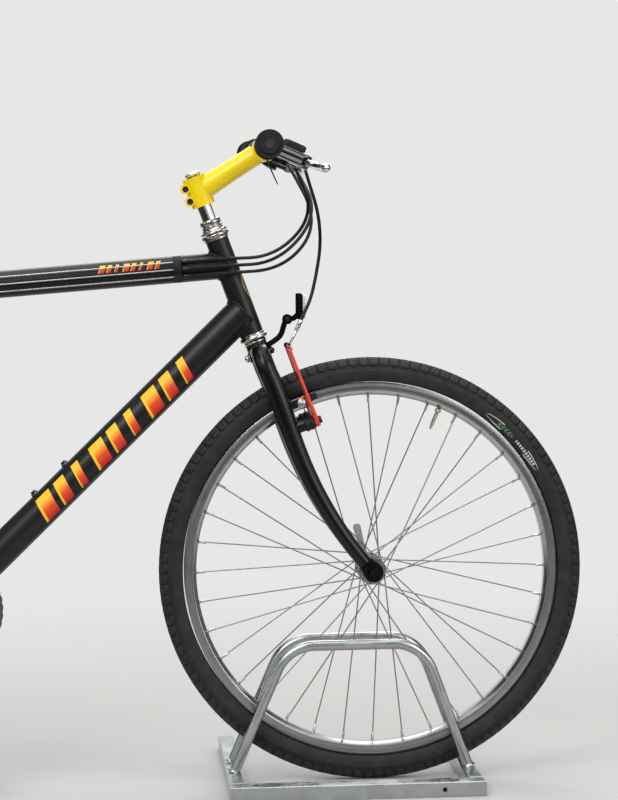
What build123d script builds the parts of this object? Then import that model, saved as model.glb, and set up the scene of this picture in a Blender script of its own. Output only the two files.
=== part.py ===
"""A mountain bicycle held by its front wheel in a galvanised floor stand.

X points forward, Y to the rider's left and Z up, in millimetres. The origin is on the floor, midway between the
two wheels. Pieces of the front end are placed along the steering axis by a height s above the foot of the front
axle on that axis, and by a reach q in front of it.
"""
import os
from math import asin, atan2, cos, pi, radians, sin, sqrt

from build123d import *

# Gaps: between seated round faces, of a turning fit, and round moving pieces
SEAT = 0.3
RUN = 0.5
CLEAR = 5.5

# Wheels
RIM_R = 285.8
RIM_W = 25.0
RIM_DEPTH = 18.8
RIM_WELL = 8.8
RIM_LIP = 1.8
RIM_BEVEL = 5.0
TYRE_W = 45.0
TYRE_H = 38.2
SPOKES_PER_SIDE = 18
SPOKE_CROSS = 60.0
SPOKE_R = 1.0
FLANGE_R = 21.0
FLANGE_W = 2.6
HUB_NECK_R = 9.0
FRONT_BARREL_R = 14.0
REAR_BARREL_R = 16.0
AXLE_R = 4.5
AXLE_NUT_R = 9.0
FRONT_OLD = 100.0
REAR_OLD = 135.0
FRONT_FLANGE_Y = {1: 33.0, -1: -33.0}
REAR_FLANGE_Y = {1: 33.0, -1: -20.0}
LEVER_LENGTH = 58.0
LEVER_THICK = 5.0

# Steering and fork
HEAD_ANGLE = 70.25
FORK_RAKE = 43.0
CROWN_ROOM = 62.0
CROWN_R = 16.5
CROWN_H = 26.0
STEERER_R = 12.7
QUILL_R = 11.1
BLADE_TOP_R = 14.6
BLADE_TIP_R = 11.0
BLADE_ROOM = 7.0
BLADE_TIP_S = 18.0
BLADE_TIP_BACK = 7.0
BLADE_BEND = 204.0
SHOULDER_H = 46.0
SHOULDER_BEND = 28.0
DROPOUT_T = 6.0
DROPOUT_R = 15.0

# Headset and head tube
HEAD_TUBE_R = 17.5
HEAD_BORE_R = 15.1
HEAD_TUBE_L = 152.0
CUP_R = 22.0
CUP_H = 10.0
RACE_H = 5.0
LOCKNUT_R = 16.5
LOCKNUT_H = 21.0

# Stem and handlebar
QUILL_SHOW = 23.0
QUILL_DEPTH = 110.0
STEM_H = 46.0
STEM_CLAMP_R = 18.0
STEM_REACH = 116.6
STEM_EAR_Q = -18.0
STEM_EAR_R = 7.5
STEM_HEAD_R = 19.5
STEM_HEAD_HALF = 20.0
BAR_RISE = 2.0
BAR_CLAMP_R = 12.7
BAR_R = 11.1
BAR_HALF = 280.0
BAR_SWEEP = 9.0
BAR_CENTRE_HALF = 32.0
BAR_TAPER = 14.0
GRIP_LENGTH = 115.0
GRIP_R = 16.0
GRIP_FLANGE_R = 20.5
GRIP_CAP = 4.0
CONTROL_R = 16.0
LEVER_DROP = 24.0
LEVER_T = 11.0
LEVER_BODY_T = 20.0
POD_T = 24.0
BARREL_R = 4.2

# Frame
CHAINSTAY_ROOM = 106.0
FRONT_CENTRE_ROOM = 324.0
BB_DROP = 43.0
SEAT_ANGLE = 72.5
TOP_TUBE_R = 20.65
TOP_TUBE_BELOW = 41.0
TOP_TUBE_SLOPE = 4.0
DOWN_TUBE_R = 25.0
DOWN_TUBE_ABOVE = 37.0
SEAT_TUBE_R = 15.9
SEATPOST_R = 13.4
SEATPOST_DEPTH = 110.0
SEATPOST_SHOW = 104.0
SEAT_TUBE_TOP = 46.0
SEAT_CLAMP_H = 15.0
SEAT_CLAMP_WALL = 4.0
BB_SHELL_R = 21.0
BB_SHELL_W = 68.0
SPINDLE_R = 8.5
CHAINSTAY_R = 9.0
SEATSTAY_R = 8.5
STAY_ROOM = 10.0
BRIDGE_R = 6.0
SADDLE_H = 58.0
SADDLE_LENGTH = 275.0
SADDLE_W = 144.0
RAIL_R = 3.5
BOTTLE_BOSS_AT = (216.0, 280.0)
BOTTLE_BOSS_R = 2.1
BOTTLE_INSERT_R = 3.6
EYELET_R = 2.5

# Rim brakes
BOSS_DROP = 33.0
BOSS_R = 9.0
BOSS_PIN_R = 4.0
BOSS_LENGTH = 24.5
ARM_T = 8.0
ARM_LENGTH = 112.0
ARM_TOP_Y = 34.0
PAD_LENGTH = 54.0
PAD_H = 10.0
PAD_T = 9.5
PAD_GAP = 2.0
PAD_STUD_R = 3.0
NOODLE_R = 2.0

# Drive train
CHAIN_PITCH = 12.7
CHAIN_Y = -55.0
CHAIN_HALF_H = 4.2
CHAIN_WAIST = 3.0
CHAIN_INNER_W = 4.6
CHAIN_OUTER_W = 6.8
COG_T = 2.0
TOOTH_H = 5.5
CRANK = 170.0
CRANK_Y = 66.0
CRANK_FLARE = 16.0
CRANK_HUB_R = 16.0
CRANK_EYE_R = 13.0
PEDAL_GAP = 12.0
PEDAL_LENGTH = 96.0
PEDAL_W = 78.0
PEDAL_H = 24.0
PEDAL_PIN_R = 6.0
PULLEY_TEETH = 11
RINGS = [  # teeth, y
    (42, CHAIN_Y),
    (32, CHAIN_Y + 8.0),
    (22, CHAIN_Y + 16.0),
]
COGS = [  # teeth, y
    (13, CHAIN_Y - 4.6),
    (15, CHAIN_Y),
    (17, CHAIN_Y + 4.6),
    (20, CHAIN_Y + 9.2),
    (23, CHAIN_Y + 13.8),
    (26, CHAIN_Y + 18.4),
    (28, CHAIN_Y + 23.0),
]
DRIVE_RING = 42
DRIVE_COG = 15

# Cables
CABLE_R = 1.0
HOUSING_R = 2.6
CABLE_GAP = 4.5
CABLE_ANGLES = (64.0, 90.0, 116.0)
STOP_HALF = 6.0
STOP_FROM_HEAD = 75.0
STOP_FROM_SEAT = 70.0

# Floor stand
STAND_H = 22.0
STAND_WALL = 3.0
STAND_NEAR_Y = -165.0
STAND_FAR_Y = 270.0
STAND_BACK = 203.0
CHANNEL_W = 24.0
RAIL_W = 35.0
HOOP_R = 8.0
HOOP_GAP = 8.5
HOOP_TOP_Z = 212.0
HOOP_REAR_RUN = 84.0
HOOP_FRONT_RUN = 68.0
HOOP_BEND = 62.0
FLOOR_HOLE_R = 4.25
FLOOR_HOLE_SPACING = 300.0
FLOOR_HOLE_BACK = 188.0
LINK_HOLE_R = 3.5
LINK_HOLE_FRONT = 92.0

# Places that follow from the sizes
TYRE_R = RIM_R + TYRE_H
RIM_BED_R = RIM_R - RIM_DEPTH
RIM_WELL_R = RIM_R - RIM_WELL
RIM_TRACK_R = (RIM_R + RIM_BED_R + RIM_BEVEL) / 2
CHAINSTAY = TYRE_R + CHAINSTAY_ROOM
WHEELBASE = sqrt(CHAINSTAY**2 - BB_DROP**2) + TYRE_R + FRONT_CENTRE_ROOM
FRONT = Vector(WHEELBASE / 2, 0, TYRE_R)
REAR = Vector(-WHEELBASE / 2, 0, TYRE_R)
BB = REAR + Vector(sqrt(CHAINSTAY**2 - BB_DROP**2), 0, -BB_DROP)
TILT = radians(90 - HEAD_ANGLE)
SIDE = Vector(0, 1, 0)
UP = Vector(-sin(TILT), 0, cos(TILT))
FWD = Vector(cos(TILT), 0, sin(TILT))
FOOT = FRONT - FWD * FORK_RAKE
SEAT_UP = Vector(-cos(radians(SEAT_ANGLE)), 0, sin(radians(SEAT_ANGLE)))
TOP_DIR = Vector(cos(radians(TOP_TUBE_SLOPE)), 0, sin(radians(TOP_TUBE_SLOPE)))
TOP_UP = Vector(-TOP_DIR.Z, 0, TOP_DIR.X)
CROWN_S = TYRE_R + CROWN_ROOM
HEAD_LOW_S = CROWN_S + RACE_H + CUP_H
HEAD_TOP_S = HEAD_LOW_S + HEAD_TUBE_L
CUP_TOP_S = HEAD_TOP_S + CUP_H + 1
LOCKNUT_TOP_S = CUP_TOP_S + LOCKNUT_H
STEM_LOW_S = LOCKNUT_TOP_S + QUILL_SHOW
STEM_HIGH_S = STEM_LOW_S + STEM_H
BAR_S = STEM_HIGH_S + BAR_RISE
BOSS_S = RIM_TRACK_R - BOSS_DROP

NODES = {}


def node(name, *pieces):
    """Keep the solids of one named piece."""
    NODES[name] = [solid for piece in pieces for solid in piece.solids()]


def steer(s, q=0.0, y=0.0):
    """Point of the front end at height s, reach q and side y."""
    return FOOT + UP * s + FWD * q + SIDE * y


def rod(a, b, r, r_end=None):
    """Round bar from a to b, tapered when r_end is given."""
    a, b = Vector(a), Vector(b)
    plane = Plane(origin=a, z_dir=b - a)
    if r_end is None:
        return Solid.make_cylinder(r, (b - a).length, plane)
    return Solid.make_cone(r, r_end, (b - a).length, plane)


def sleeve(a, b, r_out, r_in):
    """Tube from a to b."""
    a, b = Vector(a), Vector(b)
    over = (b - a).normalized()
    return rod(a, b, r_out) - rod(a - over, b + over, r_in)


def bent_rod(points, r, bend):
    """Round bar along straight runs joined by arcs."""
    path = FilletPolyline(*points, radius=bend)
    return sweep(Plane(origin=path @ 0, z_dir=path % 0) * Circle(r), path=path)


def block(centre, size, z_dir=(0, 0, 1), x_dir=None):
    """Box about a point, turned to the given directions."""
    return Plane(origin=centre, z_dir=z_dir, x_dir=x_dir) * Box(*size)


def link(plane, spots, thick):
    """Flat link whose outline wraps a row of circles, each given as (x, y, radius)."""
    outline = None
    for (x0, y0, r0), (x1, y1, r1) in zip(spots, spots[1:]):
        pair = make_hull((Pos(x0, y0) * Circle(r0) + Pos(x1, y1) * Circle(r1)).edges())
        outline = pair if outline is None else outline + pair
    return extrude(plane * outline, amount=thick / 2, both=True)


def turned(centre, outline):
    """Ring about the Y axis through a point, from an outline of (radius, y) points."""
    face = Plane(origin=centre, x_dir=(1, 0, 0), z_dir=(0, 0, 1)) * make_face(Polyline(*outline, close=True))
    return revolve(face, Axis(centre, (0, 1, 0)), 360)


def main_solid(shape):
    """Largest solid left after a cut."""
    return max(shape.solids(), key=lambda solid: solid.volume)


def pitch_radius(teeth):
    """Radius of the chain's pins on a cog."""
    return CHAIN_PITCH / (2 * sin(pi / teeth))


def tyre(centre):
    """Round tyre that stands on the rim's lips, with a bead between them."""
    half = TYRE_W / 2
    base_r = RIM_R + SEAT
    base_y = sqrt(half**2 - (TYRE_R - half - base_r) ** 2)
    bead_y = RIM_W / 2 - RIM_LIP - SEAT
    bead_r = RIM_WELL_R + 3 * SEAT
    slope = 3.0
    plane = Plane(origin=centre, x_dir=(1, 0, 0), z_dir=(0, 0, 1))
    crown = ThreePointArc((base_r, base_y), (TYRE_R, 0), (base_r, -base_y))
    foot = Polyline(
        (base_r, -base_y),
        (base_r, -bead_y),
        (bead_r, -bead_y + slope),
        (bead_r, bead_y - slope),
        (base_r, bead_y),
        (base_r, base_y),
    )
    return revolve(plane * make_face([crown, foot]), Axis(centre, (0, 1, 0)), 360)


def rim(centre):
    """Channel rim with a flat brake track on each side."""
    half = RIM_W / 2
    lip = half - RIM_LIP
    right = [
        (RIM_WELL_R, lip - 3.0),
        (RIM_R, lip),
        (RIM_R, half),
        (RIM_BED_R + RIM_BEVEL, half),
        (RIM_BED_R, half - RIM_BEVEL),
    ]
    left = [(r, -y) for r, y in reversed(right)]
    return turned(centre, right + left)


def spokes(centre, flange_y):
    """Crossed spokes between the two flanges and the rim bed."""
    bars = []
    hole_r = FLANGE_R - 1.5
    step = 180 / SPOKES_PER_SIDE
    for side, y in flange_y.items():
        for k in range(SPOKES_PER_SIDE):
            lead = 1 if k % 2 else -1
            rim_angle = radians(270 + (2 * k + (0 if side > 0 else 1)) * step)
            hub_angle = rim_angle - lead * radians(SPOKE_CROSS)
            offset = FLANGE_W / 2 + SPOKE_R + (1.4 if lead > 0 else SEAT)
            hub_y = y + side * lead * offset
            start = Vector(hole_r * cos(hub_angle), hub_y, hole_r * sin(hub_angle))
            end_r = RIM_BED_R - SEAT
            end = Vector(end_r * cos(rim_angle), side * 2.5, end_r * sin(rim_angle))
            bars.append(rod(centre + start, centre + end, SPOKE_R))
    return bars


def hub(centre, flange_y, barrel_r, end_y):
    """Turned hub shell with two spoke flanges, bored for the axle."""
    low, high = flange_y[-1], flange_y[1]
    half = FLANGE_W / 2
    waist = barrel_r - 3.0
    shoulder = 6.0
    return turned(centre, [
        (AXLE_R + RUN, -end_y),
        (HUB_NECK_R, -end_y),
        (HUB_NECK_R, low - half - shoulder),
        (barrel_r, low - half),
        (FLANGE_R, low - half),
        (FLANGE_R, low + half),
        (barrel_r, low + half),
        (waist, low + half + shoulder),
        (waist, high - half - shoulder),
        (barrel_r, high - half),
        (FLANGE_R, high - half),
        (FLANGE_R, high + half),
        (barrel_r, high + half),
        (HUB_NECK_R, high + half + shoulder),
        (HUB_NECK_R, end_y),
        (AXLE_R + RUN, end_y),
    ])


def quick_release(centre, half, lean):
    """Axle with its nut on the right and a curved lever on the left."""
    nut = 12.0
    cam = 14.0
    axle = rod(centre - SIDE * (half + 4), centre + SIDE * (half + 4), AXLE_R)
    axle = axle + rod(centre - SIDE * (half + nut), centre - SIDE * half, AXLE_NUT_R, AXLE_NUT_R - 1.5).rotate(
        Axis(centre - SIDE * (half + nut / 2), (0, 0, 1)), 180)
    axle = axle + rod(centre + SIDE * half, centre + SIDE * (half + cam), AXLE_NUT_R)
    across, up = -sin(radians(lean)) * LEVER_LENGTH, cos(radians(lean)) * LEVER_LENGTH
    paddle = Plane(origin=centre + SIDE * (half + cam - LEVER_THICK / 2), x_dir=(1, 0, 0), z_dir=(0, -1, 0))
    return axle + link(paddle, [(0, 0, 7.0), (0.45 * across, 0.45 * up, 4.5), (across, up, 6.0)], LEVER_THICK)


# Floor stand
front_inside = sqrt(TYRE_R**2 - (TYRE_R - STAND_H - CLEAR) ** 2)
stand_x0 = FRONT.X - STAND_BACK - CHANNEL_W
stand_x1 = FRONT.X + front_inside + CHANNEL_W
rail_y1 = STAND_NEAR_Y + RAIL_W


def channel(x0, x1, y0, y1):
    """Pressed channel, open towards the floor."""
    length_x, length_y = x1 - x0, y1 - y0
    middle = ((x0 + x1) / 2, (y0 + y1) / 2)
    outer = Pos(*middle, STAND_H / 2) * Box(length_x, length_y, STAND_H)
    outer = fillet(outer.edges().filter_by(GeomType.LINE).group_by(Axis.Z)[-1], STAND_WALL - 0.5)
    hollow_h = STAND_H - STAND_WALL
    hollow = Pos(*middle, hollow_h / 2) * Box(length_x - 2 * STAND_WALL, length_y - 2 * STAND_WALL, hollow_h)
    return outer - hollow


stand_rail = channel(stand_x0, stand_x1, STAND_NEAR_Y, rail_y1)
for hole_x in (-FLOOR_HOLE_BACK, FLOOR_HOLE_SPACING - FLOOR_HOLE_BACK):
    spot = Vector(FRONT.X + hole_x, STAND_NEAR_Y + RAIL_W / 2, 0)
    stand_rail = stand_rail - rod(spot, spot + Vector(0, 0, STAND_H + 1), FLOOR_HOLE_R)
link_at = Vector(FRONT.X + LINK_HOLE_FRONT, STAND_NEAR_Y, STAND_H / 2)
stand_rail = stand_rail - rod(link_at - SIDE, link_at + SIDE * (STAND_WALL + 1), LINK_HOLE_R)
node("stand_rail", stand_rail)
node("stand_rear_channel", channel(stand_x0, stand_x0 + CHANNEL_W, rail_y1, STAND_FAR_Y))
node("stand_front_channel", channel(stand_x1 - CHANNEL_W, stand_x1, rail_y1, STAND_FAR_Y))

hoop_y = TYRE_W / 2 + HOOP_GAP + HOOP_R
hoop_x0, hoop_x1 = stand_x0 + CHANNEL_W / 2, stand_x1 - CHANNEL_W / 2
below = Pos((hoop_x0 + hoop_x1) / 2, 0, 0) * Box(hoop_x1 - hoop_x0 + 200, 4 * hoop_y, 2 * STAND_H)
hoops = []
for y in (-hoop_y, hoop_y):
    hoops.append(bent_rod(
        [
            (hoop_x0, y, STAND_H),
            (hoop_x0 + HOOP_REAR_RUN, y, HOOP_TOP_Z),
            (hoop_x1 - HOOP_FRONT_RUN, y, HOOP_TOP_Z),
            (hoop_x1, y, STAND_H),
        ],
        HOOP_R,
        HOOP_BEND,
    ) - below)
node("stand_hoops", *hoops)

# Front wheel and fork
node("front_hub", hub(FRONT, FRONT_FLANGE_Y, FRONT_BARREL_R, FRONT_OLD / 2 - RUN))
node("front_spokes", *spokes(FRONT, FRONT_FLANGE_Y))
node("front_rim", rim(FRONT))
node("front_tyre", tyre(FRONT))
node("front_axle", quick_release(FRONT, FRONT_OLD / 2 + DROPOUT_T, 14.0))

blade_top_s = CROWN_S - SHOULDER_H
blade_top_y = TYRE_W / 2 + BLADE_ROOM + BLADE_TOP_R
blade_tip_y = FRONT_OLD / 2 + DROPOUT_T / 2
blade_reach = FORK_RAKE - BLADE_TIP_BACK
bend_r = (BLADE_BEND**2 + blade_reach**2) / (2 * blade_reach)
tip_turn = asin(BLADE_BEND / bend_r)


def blade_y(s):
    """Distance of a fork blade from the wheel's plane at height s."""
    share = (blade_top_s - s) / (blade_top_s - BLADE_TIP_S)
    return blade_top_y + (blade_tip_y - blade_top_y) * share


def blade(side):
    """Tapered fork blade that bends forward to the dropout."""
    stations = [(blade_top_s, 0.0, 0.0)]
    for i in range(5):
        turn = tip_turn * i / 4
        stations.append((BLADE_TIP_S + BLADE_BEND - bend_r * sin(turn), bend_r * (1 - cos(turn)), turn))
    sections = []
    for s, q, turn in stations:
        share = (blade_top_s - s) / (blade_top_s - BLADE_TIP_S)
        r = BLADE_TOP_R + (BLADE_TIP_R - BLADE_TOP_R) * max(0.0, (share - 0.3) / 0.7)
        along = UP * -cos(turn) + FWD * sin(turn)
        sections.append(Plane(origin=steer(s, q, side * blade_y(s)), z_dir=along, x_dir=SIDE) * Circle(r))
    return loft(sections)


def shoulder(side):
    """Curved top of a blade, from the crown to the straight part."""
    low = steer(blade_top_s, 0, side * blade_top_y)
    elbow = steer(CROWN_S - BLADE_TOP_R, 0, side * blade_top_y)
    path = FilletPolyline(low, elbow, steer(CROWN_S - BLADE_TOP_R), radius=SHOULDER_BEND)
    return sweep(Plane(origin=low, z_dir=UP, x_dir=SIDE) * Circle(BLADE_TOP_R), path=path)


crown = rod(steer(CROWN_S - CROWN_H), steer(CROWN_S), CROWN_R) + shoulder(1) + shoulder(-1)
crown = crown + rod(steer(CROWN_S - 1), steer(LOCKNUT_TOP_S - 2), STEERER_R)
quill_low = LOCKNUT_TOP_S - QUILL_DEPTH
crown = crown - rod(steer(quill_low - CLEAR), steer(LOCKNUT_TOP_S), QUILL_R + SEAT)
node("fork_crown", crown)


def front_at(s, q, y):
    """Point beside the front wheel, for the brake."""
    return steer(s, q, y)


def bosses(at, tube_q, tube_r, y):
    """Brake boss with its pivot pin, standing out of a tube."""
    face_q = tube_q + tube_r + BOSS_LENGTH
    base = rod(at(BOSS_S, tube_q, y), at(BOSS_S, face_q - SEAT, y), BOSS_R)
    return base + rod(at(BOSS_S, tube_q, y), at(BOSS_S, face_q + ARM_T + 2, y), BOSS_PIN_R)


front_tube_r = BLADE_TOP_R
blades = []
for side in (-1, 1):
    tip = steer(BLADE_TIP_S, blade_reach)
    plane = Plane(origin=FRONT + SIDE * side * blade_tip_y, x_dir=(1, 0, 0), z_dir=(0, -1, 0))
    tip_x, tip_z = tip.X - FRONT.X, tip.Z - FRONT.Z
    dropout = link(plane, [(0, 0, DROPOUT_R), (tip_x, tip_z, BLADE_TIP_R - 1), (2 * tip_x, 2 * tip_z, 5.0)], DROPOUT_T)
    leg = blade(side) + dropout + bosses(front_at, 0.0, front_tube_r, side * blade_y(BOSS_S))
    blades.append(leg - rod(FRONT - SIDE * FRONT_OLD, FRONT + SIDE * FRONT_OLD, AXLE_R + SEAT))
node("fork_blades", *blades)

# Headset
crown_race = sleeve(steer(CROWN_S), steer(CROWN_S + RACE_H), CROWN_R + 1.5, STEERER_R + SEAT)
RACE_STEPS = [  # height above the cup, radius
    (RUN, CUP_R - 0.5),
    (3.5, CUP_R - 5.0),
    (8.0, LOCKNUT_R),
    (10.0, LOCKNUT_R - 2.2),
    (LOCKNUT_H - 7.0, LOCKNUT_R),
]
stack = None
for (low, r), high in zip(RACE_STEPS, [step[0] for step in RACE_STEPS[1:]] + [LOCKNUT_H]):
    ring = sleeve(steer(CUP_TOP_S + low), steer(CUP_TOP_S + high), r, STEERER_R + SEAT)
    stack = ring if stack is None else stack + ring
node("headset_races", crown_race, stack)
low_cup = sleeve(steer(CROWN_S + RACE_H + RUN), steer(HEAD_LOW_S), CUP_R, STEERER_R + RUN)
high_cup = sleeve(steer(HEAD_TOP_S), steer(CUP_TOP_S), CUP_R, STEERER_R + RUN)
node("headset_cups", low_cup, high_cup)

# Stem and handlebar
node("quill_post", rod(steer(quill_low), steer(STEM_HIGH_S + 2), QUILL_R))
bar_mid = steer(BAR_S, STEM_REACH)
stem_root = steer((STEM_LOW_S + STEM_HIGH_S) / 2)
stem_run = bar_mid - stem_root
stem_sections = []
for share, half_w, half_h in ((0.0, 17.0, 18.5), (0.45, 16.0, 16.0), (0.86, 17.5, 16.0)):  # along, half sizes
    stem_sections.append(
        Plane(origin=stem_root + stem_run * share, z_dir=stem_run, x_dir=SIDE) * Ellipse(half_w, half_h))
stem = loft(stem_sections, ruled=False)
stem = stem + rod(steer(STEM_LOW_S), steer(STEM_HIGH_S), STEM_CLAMP_R)
stem = stem + rod(bar_mid - SIDE * STEM_HEAD_HALF, bar_mid + SIDE * STEM_HEAD_HALF, STEM_HEAD_R)
ear_half = STEM_CLAMP_R - 4
ear_step = STEM_H / 2 - 13
for s in (-ear_step, ear_step):
    ear = steer((STEM_LOW_S + STEM_HIGH_S) / 2 + s, STEM_EAR_Q)
    stem = stem + rod(ear - SIDE * ear_half, ear + SIDE * ear_half, STEM_EAR_R)
stem = stem - rod(steer(STEM_LOW_S - 5), steer(STEM_HIGH_S + STEM_H), QUILL_R + SEAT)
slit = steer((STEM_LOW_S + STEM_HIGH_S) / 2, STEM_EAR_Q)
stem = stem - block(slit, (2 * STEM_CLAMP_R, 2.0, STEM_H + 4), z_dir=UP, x_dir=FWD)
stem = stem - rod(bar_mid - SIDE * 2 * STEM_HEAD_HALF, bar_mid + SIDE * 2 * STEM_HEAD_HALF, BAR_CLAMP_R + SEAT)
head_slit = bar_mid - Vector(0, 0, STEM_HEAD_R) + Vector(2, 0, 0)
stem = stem - block(head_slit, (2.0, 3 * STEM_HEAD_HALF, 2 * (STEM_HEAD_R - BAR_CLAMP_R)))
node("stem", main_solid(stem))

taper_y = BAR_CENTRE_HALF + BAR_TAPER
handlebar = rod(bar_mid - SIDE * BAR_CENTRE_HALF, bar_mid + SIDE * BAR_CENTRE_HALF, BAR_CLAMP_R)
bar_dir = {}
for side in (-1, 1):
    inner = bar_mid + SIDE * side * BAR_CENTRE_HALF
    mid = bar_mid + SIDE * side * taper_y
    end = bar_mid + Vector(-BAR_SWEEP, side * BAR_HALF, 0)
    bar_dir[side] = (end - mid).normalized()
    handlebar = handlebar + rod(inner, mid, BAR_CLAMP_R, BAR_R) + rod(mid, end, BAR_R) + Pos(mid) * Sphere(BAR_R)
node("handlebar", handlebar)


def on_bar(side, from_end):
    """Point on the bar's axis at a distance from its end."""
    return bar_mid + Vector(-BAR_SWEEP, side * BAR_HALF, 0) - bar_dir[side] * from_end


REACH = Vector(cos(radians(LEVER_DROP)), 0, -sin(radians(LEVER_DROP)))
OVER = REACH.cross(SIDE)
MOUNT_AT = GRIP_LENGTH + 14.0
POD_AT = GRIP_LENGTH + 50.0
BRAKE_BARREL = Vector(60.0, 26.0, 0)
SHIFT_BARREL = Vector(42.0, 28.0, 0)
LEVER_ROOT = [  # reach, distance outwards, radius
    (55.0, 2.0, 7.0),
    (71.0, 14.0, 6.5),
]
LEVER_BLADE = LEVER_ROOT + [
    (80.0, 48.0, 6.0),
    (86.0, 98.0, 7.0),
]
grips = []
mounts = []
levers = []
shifters = []
for side in (-1, 1):
    out = bar_dir[side]
    g0, g1 = on_bar(side, GRIP_LENGTH), on_bar(side, 0)
    grip = rod(g0, g1, GRIP_R) + rod(g0, g0 + out * 5, GRIP_FLANGE_R) + rod(g1 - out * 6, g1, GRIP_FLANGE_R)
    for i in range(1, 12):
        rib = g0 + out * (5 + (GRIP_LENGTH - 11) * i / 12)
        grip = grip + rod(rib - out * 1.5, rib + out * 1.5, GRIP_R + 1.2)
    grip = grip + rod(g1, g1 + out * GRIP_CAP, GRIP_R - 2)
    grips.append(grip - rod(g0 - out, g1 + out * SEAT, BAR_R + SEAT))
    at = on_bar(side, MOUNT_AT)
    bar_hole = rod(at - out * 60, at + out * 60, BAR_R + SEAT)
    plane = Plane(origin=at, x_dir=REACH, z_dir=OVER)
    root = [(x, side * y, r) for x, y, r in LEVER_ROOT]
    pivot = at + REACH * root[0][0] + SIDE * root[0][1]
    hold = link(plane, [(0, 0, 13.0), (56.0, 0, 11.0)], LEVER_BODY_T) + rod(at - out * 10, at + out * 10, CONTROL_R)
    barrel = at + REACH * BRAKE_BARREL.X
    hold = hold + rod(barrel, barrel - SIDE * side * BRAKE_BARREL.Y, BARREL_R)
    hold = hold - link(plane, [(x, y, r + RUN + 0.5) for x, y, r in root], LEVER_T + 2 * RUN)
    hold = hold + rod(pivot - OVER * LEVER_BODY_T / 2, pivot + OVER * LEVER_BODY_T / 2, 2.5)
    mounts.append(main_solid(hold - bar_hole))
    lever = link(plane, [(x, side * y, r) for x, y, r in LEVER_BLADE], LEVER_T)
    levers.append(lever - rod(pivot - OVER * LEVER_BODY_T, pivot + OVER * LEVER_BODY_T, 2.5 + SEAT))
    at = on_bar(side, POD_AT)
    plane = Plane(origin=at, x_dir=REACH, z_dir=OVER)
    pod = link(plane, [(0, 0, 12.0), (34.0, 0, 16.0)], POD_T) + rod(at - out * 8, at + out * 8, CONTROL_R)
    barrel = at + REACH * SHIFT_BARREL.X
    pod = pod + rod(barrel, barrel - SIDE * side * SHIFT_BARREL.Y, BARREL_R)
    thumb = Plane(origin=at - OVER * (POD_T / 2 + 2), x_dir=REACH, z_dir=OVER)
    pod = pod + link(thumb, [(24.0, 0, 11.0), (31.0, side * 22, 6.0), (28.0, side * 31, 6.5)], 6.0)
    shifters.append(main_solid(pod - bar_hole))
node("grips", *grips)
node("brake_lever_mounts", *mounts)
node("brake_levers", *levers)
node("shifters", *shifters)


def rim_brake(at, up, out, axle_q, tube_q, tube_r, boss_y):
    """Two brake arms on their bosses, the pads with their studs and the cable's noodle."""
    arm_q = tube_q + tube_r + BOSS_LENGTH + ARM_T / 2
    stud_q = arm_q - ARM_T / 2 - 8.0
    pad_s = sqrt(RIM_TRACK_R**2 - (stud_q - axle_q) ** 2)
    pad_y = RIM_W / 2 + PAD_GAP
    right = up.cross(out)
    turn = 1 if right.Y > 0 else -1
    plane = Plane(origin=at(0, arm_q, 0), x_dir=SIDE * turn, z_dir=out)
    arms = []
    pads = []
    for side in (-1, 1):
        x = side * turn
        arm = link(
            plane,
            [
                (x * boss_y, BOSS_S, 9.5),
                (x * (boss_y + 2), BOSS_S + 0.5 * ARM_LENGTH, 6.0),
                (x * ARM_TOP_Y, BOSS_S + ARM_LENGTH, 5.5),
            ],
            ARM_T,
        )
        stud = at(pad_s, stud_q, side * boss_y)
        ear = block(stud + out * 4, (12.0, 16.0, 18.0), z_dir=up, x_dir=SIDE)
        stud_hole = rod(at(pad_s, stud_q, side * pad_y), at(pad_s, stud_q, side * (boss_y + 30)), PAD_STUD_R + SEAT)
        pin = at(BOSS_S, arm_q, side * boss_y)
        arms.append(arm + ear - rod(pin - out * ARM_T, pin + out * ARM_T, BOSS_PIN_R + SEAT) - stud_hole)
        radial = (up * pad_s + out * (stud_q - axle_q)).normalized()
        pad = block(
            at(pad_s, stud_q, side * (pad_y + PAD_T / 2)),
            (PAD_T, PAD_LENGTH, PAD_H),
            z_dir=radial,
            x_dir=SIDE,
        )
        pad = fillet(pad.edges().filter_by(Axis.Y), 2.0)
        pads.append(pad + rod(
            at(pad_s, stud_q, side * (pad_y + PAD_T - 1)), at(pad_s, stud_q, side * (boss_y + 14)), PAD_STUD_R))
    top_s = BOSS_S + ARM_LENGTH + 5.5 + NOODLE_R + SEAT
    path = [
        at(top_s, arm_q, ARM_TOP_Y - 4),
        at(top_s, arm_q, -ARM_TOP_Y + 14),
        at(top_s, arm_q, -ARM_TOP_Y - 18),
        at(top_s + 34, arm_q + 35, -ARM_TOP_Y - 10),
    ]
    noodle = bent_rod(path[1:], NOODLE_R, 15.0) + rod(path[0], path[1], CABLE_R)
    return arms, pads, noodle, path


arms, pads, noodle, front_noodle_path = rim_brake(
    front_at, UP, FWD, FORK_RAKE, 0.0, front_tube_r, blade_y(BOSS_S))
node("front_brake_arms", *arms)
node("front_brake_pads", *pads)
node("front_brake_noodle", noodle)

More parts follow.
